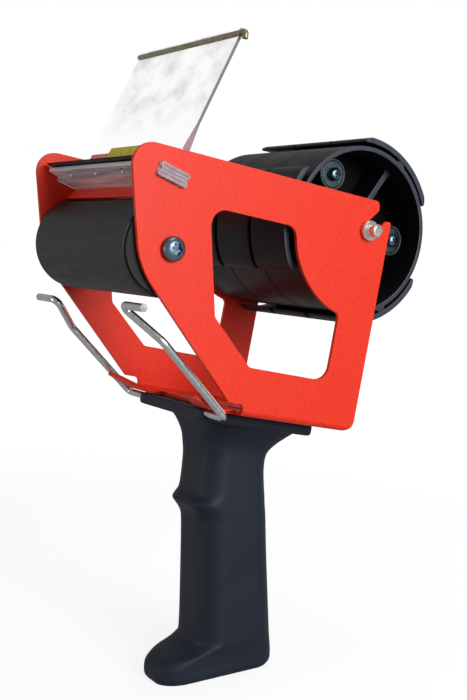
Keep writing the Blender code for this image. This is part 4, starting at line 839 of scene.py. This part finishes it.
def makeDrumSection(name, index):
    low = -drum["half"] + index * (sectionWidth + drum["gap"])
    high = low + sectionWidth
    outer, inner, hub, bore = drum["barrel"], drum["barrel"] - drum["wall"], drum["hub"], drum["bore"]
    side = -1 if index == 0 else 1
    inside, outside = (high, low) if index == 0 else (low, high)
    face = outside - side * drum["discFace"]
    back = face - side * drum["disc"]
    hubEnd = outside - side * drum["hubFace"] if index != 1 else outside
    corners = [(outside, inner), (outside, outer), (inside, outer), (inside, inner), (back, inner),
               (back, hub), (inside, hub), (inside, bore), (hubEnd, bore), (hubEnd, hub), (face, hub),
               (face, inner)]
    section = lathe("drumSection" + name, softProfile(corners, 0.4 * mm), drumAxis, 160, closed=True)
    centre = (0, *drumAxis)
    spokeEnds = sorted((back + side * 0.3 * mm, hubEnd - side * 0.05 * mm))
    bossEnds = sorted((back, outside - side * drum["bossFace"])) if index != 1 else (low, high)
    addCopies(section, fingerShape(), drumBlack, around=3, centre=((low + high) / 2, *drumAxis))
    addCopies(section, spokeShape(*spokeEnds), drumBlack, around=3, centre=centre)
    addCopies(section, bossShape(*bossEnds, index == 2), drumBlack, around=3, centre=centre)
    dress(tilt(section), "drum", "drum_black", drumBlack, "drum_section_" + name.lower())
    section.data.materials.append(drumInsidePaintedShade)
    section.data.materials.append(drumEdgePaintedLight)
    for face in section.data.polygons:  # the hollow is matt and painted darker as shade; the faces that look sideways far out are painted lighter as lit edges
        middle = toSeat @ face.center
        away = math.hypot(middle.y - drumAxis[0], middle.z - drumAxis[1])
        deep = abs(middle.x) < drum["half"] - 0.5 * mm
        if away < inner + 0.2 * mm and abs(middle.x - hubEnd) > 0.8 * mm and deep:
            face.material_index = 1
        # painted light: sideways faces far out get the lighter edge colour
        if abs(face.normal.x) > 0.7 and abs(middle.x) > 24 * mm:
            face.material_index = 2


for number, name in enumerate(("Left", "Middle", "Right")):
    makeDrumSection(name, number)

drumScrew = {"washer": 28.1 * mm, "washerThick": 0.9 * mm, "washerHalf": 5.3 * mm, "seat": 29.3 * mm,
             "low": -32.1 * mm, "shank": 1.9 * mm, "head": 2.8 * mm, "crossLong": 1.5 * mm,
             "crossHalf": 0.35 * mm, "nutLow": -31.1 * mm, "nutHigh": -28.1 * mm, "nut": 3.8 * mm,
             "nutEdge": 0.3 * mm}


def makeDrumHardware():
    centre = polar((0, 0), drum["screwCircle"], drum["screwAt"])
    low, wide = drumScrew["washer"], drumScrew["washerHalf"]
    high = low + drumScrew["washerThick"]
    ring = softProfile([(low, 2.2 * mm), (low, wide), (high, wide), (high, 2.2 * mm)], 0.16 * mm)
    washer = lathe("washer", ring, centre, 64, closed=True)
    seat, head, shank = drumScrew["seat"], drumScrew["head"], drumScrew["shank"]
    start = drumScrew["low"]
    profile = [(start, 1.6 * mm), (start + 0.3 * mm, shank), (seat, shank), (seat, head)]
    for k in range(10):
        angle = math.pi / 2 * k / 10
        profile.append((seat + (0.9 + 1.7 * math.sin(angle)) * mm, head * math.cos(angle) ** 0.7))
    screw = lathe("panHead", profile, centre, 48)
    long, half = drumScrew["crossLong"], drumScrew["crossHalf"]
    cross = [(half, half), (half, long), (-half, long), (-half, half), (-long, half), (-long, -half),
             (-half, -half), (-half, -long), (half, -long), (half, -half), (long, -half), (long, half)]
    cross = [(centre[0] + a, centre[1] + b) for a, b in cross]
    cut(screw, prism("cross", cross, seat + 1.3 * mm, seat + 4 * mm))
    low, high, wide, edge = (drumScrew[key] for key in ("nutLow", "nutHigh", "nut", "nutEdge"))
    profile = [(low, wide - edge), (low + edge, wide), (high - edge, wide), (high, wide - edge)]
    nut = lathe("nut", profile, centre, 6)
    softenEdges(nut, 0.12 * mm, 2, 25)
    for name, source, steel, nodes in (("drumScrews", screw, screwSteel, "drum_screw_"),
                                       ("drumWashers", washer, washerSteel, "drum_washer_"),
                                       ("drumNuts", nut, screwSteel, "drum_screw_nut_")):
        piece = addCopies(emptyPiece(name), source, steel, around=3, centre=(0, *drumAxis))
        dress(tilt(piece), "drum", "bright_steel", steel, *[nodes + str(k) for k in (1, 2, 3)])


makeDrumHardware()

axle = {"neck": 2.55 * mm, "shank": 4.05 * mm, "necked": 40.2 * mm, "collar": 42.3 * mm,
        "collarEnd": 44.3 * mm, "tip": 48.6 * mm, "edge": 0.3 * mm}


def makeDrumAxle():
    neck, shank, edge, tip = axle["neck"], axle["shank"], axle["edge"], axle["tip"]
    necked, collar, end = axle["necked"], axle["collar"], axle["collarEnd"]
    half = [(necked - edge, shank), (necked, shank - edge), (necked, neck), (collar, neck),
            (collar, shank - edge), (collar + edge, shank), (end - edge, shank), (end, shank - edge),
            (end, neck), (tip - 0.6 * mm, neck), (tip - 0.2 * mm, neck - 0.35 * mm), (tip, neck - 0.8 * mm)]
    piece = lathe("drumAxle", [(-x, r) for x, r in reversed(half)] + half, drumAxis, 72)
    dress(tilt(piece), "axle", "bright_steel", axleSteel, "drum_axle")


makeDrumAxle()

brake = {"bore": 4.4 * mm, "washerLow": -31.1 * mm, "washerHigh": -30.3 * mm, "washer": 8 * mm,
         "coilStart": -31.95 * mm, "coilLength": 2.5 * mm, "coil": 5.6 * mm, "coilTurn": 3.5 * math.pi,
         "coilSteps": 96, "wire": 0.55 * mm, "nutLow": -37.9 * mm, "nutHigh": -35.3 * mm, "nut": 7.2 * mm}


def makeBrake():
    bore, low, high, wide = (brake[key] for key in ("bore", "washerLow", "washerHigh", "washer"))
    ring = softProfile([(low, bore), (low, wide), (high, wide), (high, bore)], 0.15 * mm)
    washer = lathe("brakeWasher", ring, drumAxis, 64, closed=True)
    coil = []
    for k in range(brake["coilSteps"] + 1):
        share = k / brake["coilSteps"]
        coil.append((brake["coilStart"] - brake["coilLength"] * share,
                     *polar(drumAxis, brake["coil"], brake["coilTurn"] * share)))
    spring = smoothWire("brakeSpring", coil, brake["wire"], 3)
    low, high, wide, edge = brake["nutLow"], brake["nutHigh"], brake["nut"], 0.3 * mm
    nut = lathe("brakeNut", [(low, bore), (low, wide - edge), (low + edge, wide), (high - edge, wide),
                             (high, wide - edge), (high, bore)], drumAxis, 6, closed=True)
    softenEdges(nut, 0.15 * mm, 2, 25)
    for piece, node in ((washer, "brake_washer"), (spring, "brake_spring"), (nut, "brake_nut")):
        dress(tilt(piece), "axle", "bright_steel", axleSteel, node)


makeBrake()
print("drum made")


# Clear holder, toothed cutter and its pins

holder = {"half": 38.8 * mm, "inside": 38.77 * mm, "tabEnd": 43.8 * mm, "grooveFloor": 43.45 * mm,
          "nickFloor": 42.4 * mm, "past": 45 * mm, "earInside": 35.4 * mm, "bore": 1.3 * mm,
          "frostedFrom": 42.2 * mm}
holderProfile = [(-11.7, -1.2, 0.3), (1.5, -2.6, 1.2), (7, -2.6, 0.35), (7, 2.6, 0.35), (-3.2, 2.6, 0.6),
                 (-3.9, 0.9, 0.1), (-11.7, 0.5, 0.3)]  # along, up and radius in millimetres
pins = {"across": (-22 * mm, 0, 22 * mm), "forward": -8.8 * mm, "hole": 1.45 * mm,
        "profile": ((-2.9, 0.5), (-2.7, 0.7), (-2.1, 0.7), (-2.1, 0.4), (1.62, 0.4), (1.62, 1.9), (1.75, 2.1),
                    (1.9, 2.1), (2.05, 1.7))}


def holderLathe(name, x, forward, profile, steps=32):  # profile turned about a line square to the holder
    rings = []
    for up, radius in profile:
        rings.append([(x + radius * math.cos(a), *holderAt(forward + radius * math.sin(a), up))
                      for a in (2 * math.pi * k / steps for k in range(steps))])
    return loft(name, rings)


def makeHolder():
    outline = rounded([(*holderAt(u * mm, w * mm), r * mm) for u, w, r in holderProfile], 5)
    slab = prism("bladeHolder", outline, -holder["half"], holder["half"])
    ear = rounded([(*holderAt(-0.1 * mm, 2.57 * mm), 0), (*holderAt(6.3 * mm, 2.57 * mm), 0)])
    ear += arc(flapAxis, 3.2 * mm, holderTilt, holderTilt + math.pi, 24)
    corners = ((-6.2, -2.57), (6.2, -2.57), (6.2, 2.57), (-6.2, 2.57))
    tabOutline = rounded([(*holderAt(u * mm, w * mm), 0.5 * mm) for u, w in corners], 4)
    past = holder["past"]
    for side in (-1, 1):
        join(slab, prism("tab", tabOutline, *across(side, holder["inside"], holder["tabEnd"])))
        for level in (-1.35, 0.0, 1.35):  # lengthwise grooves in the tab's end
            corners = ((-5.4, -0.2), (5.4, -0.2), (5.4, 0.2), (-5.4, 0.2))
            groove = [holderAt(u * mm, (level + w) * mm) for u, w in corners]
            cut(slab, prism("groove", groove, *across(side, holder["grooveFloor"], past)))
        for end in (-1, 1):  # small half-round nicks at both ends of the tab
            ends = across(side, holder["nickFloor"], past)
            cut(slab, crossRod("nick", *ends, 0.8 * mm, holderAt(end * 6.35 * mm, 0), 24))
        join(slab, prism("ear", ear, *across(side, holder["inside"], holder["earInside"])))
    cut(slab, crossRod("bore", -past, past, holder["bore"], flapAxis, 32))
    bore = [(-6 * mm, pins["hole"]), (6 * mm, pins["hole"])]
    for x in pins["across"]:
        cut(slab, holderLathe("pinHole", x, pins["forward"], bore))
    softenEdges(slab, 0.18 * mm, 2, 40)
    dress(tilt(slab), "frame", "clear_plastic", clearHolder, "blade_holder")
    tintEnds(slab, frosted, holder["frostedFrom"])


makeHolder()

cutter = {"low": 0.9 * mm, "high": 1.6 * mm, "rear": -4.0 * mm, "half": 38.5 * mm, "tip": -14.6 * mm,
          "toothLong": 1.3 * mm, "toothHalf": 1.15 * mm, "teeth": 33, "pitch": 2.3 * mm}


def makeBlade():
    low, high, half, tip, wide = (cutter[key] for key in ("low", "high", "half", "tip", "toothHalf"))
    root = tip + cutter["toothLong"]
    corners = [(half, cutter["rear"]), (-half, cutter["rear"]), (-half, root), (half, root)]
    blade = loft("cutterBlade", [[(x, *holderAt(u, up)) for x, u in corners] for up in (low, high)])
    softenEdges(blade, 0.05 * mm, 1, 40)
    # tooth ground on its upper face, so that its point lies on the lower one
    foot, ground, ridge = root + 0.02 * mm, tip + 0.12 * mm, low + 0.2 * mm
    base = [(-wide, *holderAt(foot, low)), (wide, *holderAt(foot, low)),
            (wide * 0.96, *holderAt(foot, high)), (-wide * 0.96, *holderAt(foot, high))]
    point = [(-0.08 * mm, *holderAt(tip, low)), (0.08 * mm, *holderAt(tip, low)),
             (0.06 * mm, *holderAt(ground, ridge)), (-0.06 * mm, *holderAt(ground, ridge))]
    addCopies(blade, loft("tooth", [base, point]), bladeSteel, rows=cutter["teeth"], step=cutter["pitch"])
    dress(tilt(blade), "frame", "blade_steel", bladeSteel, "cutter_blade", smooth=20)
    profile = [(up * mm, radius * mm) for up, radius in pins["profile"]]
    for number, x in enumerate(pins["across"], 1):
        pin = holderLathe("bladePin" + str(number), x, pins["forward"], profile, 40)
        dress(tilt(pin), "frame", "bright_steel", pinSteel, "blade_pin_" + str(number))


makeBlade()


# Clear flap with its rods and label strip

flap = {"angle": math.radians(73.4), "root": 5 * mm, "reach": 55 * mm, "half": 38.5 * mm,
        "neckHalf": 35.0 * mm, "barrel": 2.3 * mm, "bead": 1.6 * mm, "bore": 1.3 * mm,
        "beadBore": 1.2 * mm, "edgeFrom": 38.0 * mm}
leafSide = [(4.97, 1.6, 0.2), (16, 0.6, 4.0), (55, 0.6, 0)]  # along, half thickness and radius in millimetres


def flapAt(reach, up):
    return turned(flapAxis, flap["angle"], reach, up)


def makeFlap():
    corners = [(a, -b, r) for a, b, r in leafSide] + leafSide[::-1]
    half, beadAxis = flap["half"], flapAt(flap["reach"], 0)
    outline = rounded([(*flapAt(a * mm, b * mm), r * mm) for a, b, r in corners], 6)
    leaf = prism("clearFlap", outline, -half, half)
    neck = [flapAt(a * mm, b * mm) for a, b in ((0, -0.6), (5, -1.6), (5, 1.6), (0, 0.6))]
    end, wide = flap["neckHalf"], half - 0.03 * mm
    join(leaf, prism("neck", neck, -end, end),
         crossRod("barrel", -end - 0.1 * mm, end + 0.1 * mm, flap["barrel"], flapAxis),
         crossRod("bead", -wide, wide, flap["bead"], beadAxis))
    cut(leaf, crossRod("bore", -half - mm, half + mm, flap["bore"], flapAxis, 32),
        crossRod("beadBore", -half - mm, half + mm, flap["beadBore"], beadAxis, 32))
    softenEdges(leaf, 0.15 * mm, 2, 40)
    dress(tilt(leaf), "flap", "clear_plastic", clearLeaf, "clear_flap")
    tintEnds(leaf, clearEdge, flap["edgeFrom"], False)


makeFlap()

rods = {"half": 39.9 * mm, "radius": 1.1 * mm, "bend": 1.2 * mm, "bendSteps": 8, "hook": 2.6 * mm,
        "hingeHalf": 38.8 * mm, "hinge": 1 * mm, "edge": 0.2 * mm}


def makeFlapRods():
    u, w = flapAt(flap["reach"], 0)
    half, bend = rods["half"], rods["bend"]
    points = [Vector((-half, u, w)), Vector((0, u, w)), Vector((half, u, w))]
    for k in range(1, rods["bendSteps"] + 1):  # the end is nipped down into a small hook
        angle = math.pi / 2 * k / rods["bendSteps"]
        points.append(Vector((half + bend * math.sin(angle), u, w - bend * (1 - math.cos(angle)))))
    points.append(Vector((half + bend + 0.1 * mm, u, w - rods["hook"])))
    dress(tilt(smoothWire("flapRod", points, rods["radius"], 8)), "flap", "brown_rod", rodBrass, "flap_rod")
    end, radius, edge = rods["hingeHalf"], rods["hinge"], rods["edge"]
    hinge = lathe("flapHingeRod", [(-end, radius - edge), (-end + edge, radius), (end - edge, radius),
                                   (end, radius - edge)], flapAxis, 40)
    dress(tilt(hinge), "frame", "bright_steel", screwSteel, "flap_hinge_rod")


makeFlapRods()

label = {"low": 3.0 * mm, "near": 1.65 * mm, "thick": 0.3 * mm}
strips = {"yellowLabel": (-20.0 * mm, 12.0 * mm, 8.4 * mm, yellowFilm, ["label_strip"]),
          "pinkLabel": (-34.7 * mm, -20.15 * mm, 5.9 * mm, pinkFilm, [])}  # left, right and upper end


def makeLabel():
    low, near, thick, bend = label["low"], label["near"], label["thick"], flap["root"]
    for name, (left, right, end, film, node) in strips.items():
        far = near - (end - bend) / 11  # the flap's wedge loses 1 mm in 11
        strip = [flapAt(*p) for p in ((low, near), (bend, near), (end, far), (end, far + thick),
                                      (bend, near + thick), (low, near + thick))]
        piece = softenEdges(prism(name, strip, left, right), 0.08 * mm, 1, 40)
        dress(tilt(piece), "flap", "label_paper", film, *node)


makeLabel()
print("cutter and flap made")


# Wire bail

bail = {"radius": 1.5 * mm, "arm": 38.4 * mm, "elbow": (-33 * mm, 24.5 * mm), "tip": (-47.1 * mm, 35.0 * mm),
        "tipFrom": 27 * mm, "tipTo": 45 * mm, "bends": (2.6 * mm, 7 * mm, 2.6 * mm),
        "sags": (1.8 * mm, 1.8 * mm, 1.08 * mm, 0)}  # the far arm is bent down a little


def bentPath(corners, radii, steps=14):
    points = [Vector(corners[0])]
    for before, here, after, radius in zip(corners, corners[1:], corners[2:], radii):
        here = Vector(here)
        back, on = Vector(before) - here, Vector(after) - here
        half = back.angle(on) / 2
        reach = radius / math.tan(half)
        centre = here + (back.normalized() + on.normalized()).normalized() * (radius / math.sin(half))
        start = (here + back.normalized() * reach - centre).normalized()
        end = (here + on.normalized() * reach - centre).normalized()
        points += [centre + start.slerp(end, k / steps) * radius for k in range(steps + 1)]
    return points + [Vector(corners[-1])]


def makeBail():
    u, w = bailAxis
    elbow, tip = ((u + along, w + up) for along, up in (bail["elbow"], bail["tip"]))
    near = [(bail["arm"], u, w), (bail["arm"], *elbow), (bail["tipFrom"], *tip), (bail["tipTo"], *tip)]
    far = [(-x, y, z - sag) for (x, y, z), sag in zip(reversed(near), bail["sags"])]
    wire = smoothWire("wireBail", bentPath(far + near, bail["bends"] * 2), bail["radius"])
    softenEdges(wire, 0.14 * mm, 1, 60)
    dress(tilt(wire), "bail", "zinc_wire", zincWire, "wire_bail")


makeBail()


# Moulded grip: foot, shank and neck, with a flange under the frame

grip = {"depth": 36 * mm, "half": 15 * mm, "corner": 10 * mm}
gripSections = [  # front reach and height, rear reach and height, half width, corner, width of the toe
    (-0.985, 0.0, 0.48, 0.0, 0.92, 0.95, 0.72),
    (-1.018, 0.014, 0.515, 0.014, 1.0, 1.0, 0.72),
    (-1.018, 0.046, 0.525, 0.046, 1.0, 1.0, 0.72),
    (-0.992, 0.066, 0.522, 0.066, 1.0, 1.0, 0.74),
    (-0.88, 0.09, 0.517, 0.086, 1.0, 1.0, 0.8),
    (-0.7, 0.104, 0.511, 0.106, 1.0, 1.0, 0.9),
    (-0.558, 0.122, 0.508, 0.129, 1.0, 1.0, 1.0),
    (-0.503, 0.157, 0.503, 0.164, 1.0, 1.0, 1.0),
    (-0.469, 0.422, 0.469, 0.422, 1.0, 1.0, 1.0),
    (-0.458, 0.571, 0.456, 0.571, 1.0, 1.0, 1.0),
    (-0.478, 0.612, 0.45, 0.606, 1.0, 1.0, 1.0),
    (-0.536, 0.643, 0.444, 0.631, 1.0, 1.0, 1.0),
    (-0.575, 0.663, 0.442, 0.658, 1.0, 1.0, 1.0),
    (-0.54, 0.678, 0.438, 0.673, 1.0, 1.0, 1.0),
    (-0.475, 0.708, 0.433, 0.702, 1.0, 1.0, 1.0),
    (-0.425, 0.82, 0.431, 0.764, 1.0, 1.0, 1.0),
    (-0.428, 0.871, 0.472, 0.817, 1.0, 1.0, 1.0),
    (-0.431, 0.916, 0.583, 0.85, 1.07, 1.0, 1.0),
    (-0.458, 0.968, 0.7, 0.884, 1.3, 0.95, 1.0),
    (-0.53, 1.004, 0.765, 0.912, 1.55, 0.9, 1.0),
    (-0.53, 1.02, 0.765, 0.926, 1.55, 0.9, 1.0),
]


def gripRing(front, frontUp, rear, rearUp, half, corner, toe):
    front, rear, half = front * grip["depth"], rear * grip["depth"], half * grip["half"]
    frontUp, rearUp = frontUp * seatHeight, rearUp * seatHeight
    depth = (rear - front) / 2
    radius = min(corner * grip["corner"], depth * 0.95, half * toe * 0.95)
    corners = [(half, -depth), (half, depth), (-half, depth), (-half, -depth)]
    flat = rounded([(*point, radius) for point in corners], 14)
    points = []
    for x, y in flat:
        forward = max(0, -y / depth)
        rise = frontUp + (rearUp - frontUp) * (y + depth) / (2 * depth)
        points.append((x * (1 - (1 - toe) * forward), (front + rear) / 2 + y, rise))
    return points


def between(rows, steps=5):  # smooth curve through rows of numbers
    smooth = []
    for n in range(len(rows) - 1):
        a, b, c, d = (rows[max(0, min(len(rows) - 1, n + k))] for k in (-1, 0, 1, 2))
        for k in range(steps):
            t = k / steps
            smooth.append([0.5 * (2 * q + (r - p) * t + (2 * p - 5 * q + 4 * r - s) * t ** 2
                                  + (3 * q - p - 3 * r + s) * t ** 3) for p, q, r, s in zip(a, b, c, d)])
    return smooth + [list(rows[-1])]


flange = {"half": 29 * mm, "front": 27.4 * mm, "rear": 28.4 * mm, "thick": 4.8 * mm, "corner": 9 * mm,
          "edge": 1.0 * mm, "sink": 0.3 * mm, "bailRoom": 1.8 * mm}


def flangeShape():
    half, front, rear, corner, edge = (flange[key] for key in ("half", "front", "rear", "corner", "edge"))
    quarter = [[math.pi / 2 * k / steps for k in range(steps + 1)] for steps in (6, 4)]
    levels = [(-flange["thick"] + edge * (1 - math.cos(a)), edge * (1 - math.sin(a))) for a in quarter[0]]
    levels += [(-edge / 2 + edge / 2 * math.sin(a), edge / 2 * (1 - math.cos(a))) for a in quarter[1]]
    rings = []
    for level, inset in levels:
        wide, ahead, behind = half - inset, -front + inset, rear - inset
        outline = rounded([(wide, ahead, corner), (wide, behind, corner / 2), (-wide, behind, corner / 2),
                           (-wide, ahead, corner)], 14)
        rings.append([(x, y, level - flange["sink"]) for x, y in outline])
    return tilt(loft("flange", rings))


def squareOff(piece, level):  # cuts the rounded underside off and brings its rim straight down to the ground
    bm = bmesh.new()
    bm.from_mesh(piece.data)
    everything = bm.verts[:] + bm.edges[:] + bm.faces[:]
    bmesh.ops.bisect_plane(bm, geom=everything, plane_co=(0, 0, level), plane_no=(0, 0, -1), clear_outer=True)
    rim = [edge for edge in bm.edges if edge.is_boundary]
    for vert in bmesh.ops.extrude_edge_only(bm, edges=rim)["geom"]:
        if isinstance(vert, bmesh.types.BMVert):
            vert.co.z = 0
    bmesh.ops.holes_fill(bm, edges=[edge for edge in bm.edges if edge.is_boundary], sides=0)
    bmesh.ops.recalc_face_normals(bm, faces=bm.faces)
    bm.to_mesh(piece.data)
    bm.free()


def makeGrip():
    body = loft("mouldedGrip", [gripRing(*row) for row in between(gripSections)])
    join(body, flangeShape())
    remesh = body.modifiers.new("skin", "REMESH")
    remesh.mode = "VOXEL"
    remesh.voxel_size = 0.55 * mm
    remesh.use_smooth_shade = True
    relax = body.modifiers.new("relax", "SMOOTH")
    relax.factor = 0.5
    relax.iterations = 6
    plainMesh(body)
    squareOff(body, 0.25 * mm)
    u, w = bailAxis
    room = flange["bailRoom"]
    groove = arc((u, w), room, math.pi, 2 * math.pi, 20) + [(u + room, mm), (u - room, mm)]
    cut(body, tilt(prism("groove", groove, -sheet["inner"], sheet["inner"])))
    dress(body, "frame", "black_grip", gripPlastic, "handle", smooth=50)


makeGrip()

gripScrewProfile = ((-5.5, 1.6), (-5.2, 1.9), (1.55, 1.9), (1.55, 3.5), (1.7, 3.6), (2.0, 3.4), (2.1, 3.0))
for number, place in enumerate(gripScrewPlaces(), 1):
    profile = [(height * mm, radius * mm) for height, radius in gripScrewProfile]
    screw = uprightLathe("gripScrew" + str(number), place, profile, 48)
    dress(tilt(screw), "frame", "bright_steel", redCoat, "handle_screw_" + str(number))


# Solids that stay as they are, all of them inside others

coats = {"red_sheet": redCoat, "black_grip": gripPlastic, "clear_plastic": clearHolder,
         "blade_steel": bladeSteel, "roller_rubber": rubber, "drum_black": drumBlack,
         "brown_rod": rodBrass, "label_paper": yellowFilm,
         "zinc_wire": zincWire, "bright_steel": screwSteel}
slots = {part["node"]: part["material_slot"] for part in frame["record"]["subparts"]}
for node, piece in frame["nodes"].items():
    if not piece.hide_render:
        piece.data.materials.clear()
        piece.data.materials.append(coats[slots[node]])
        print("kept", node)
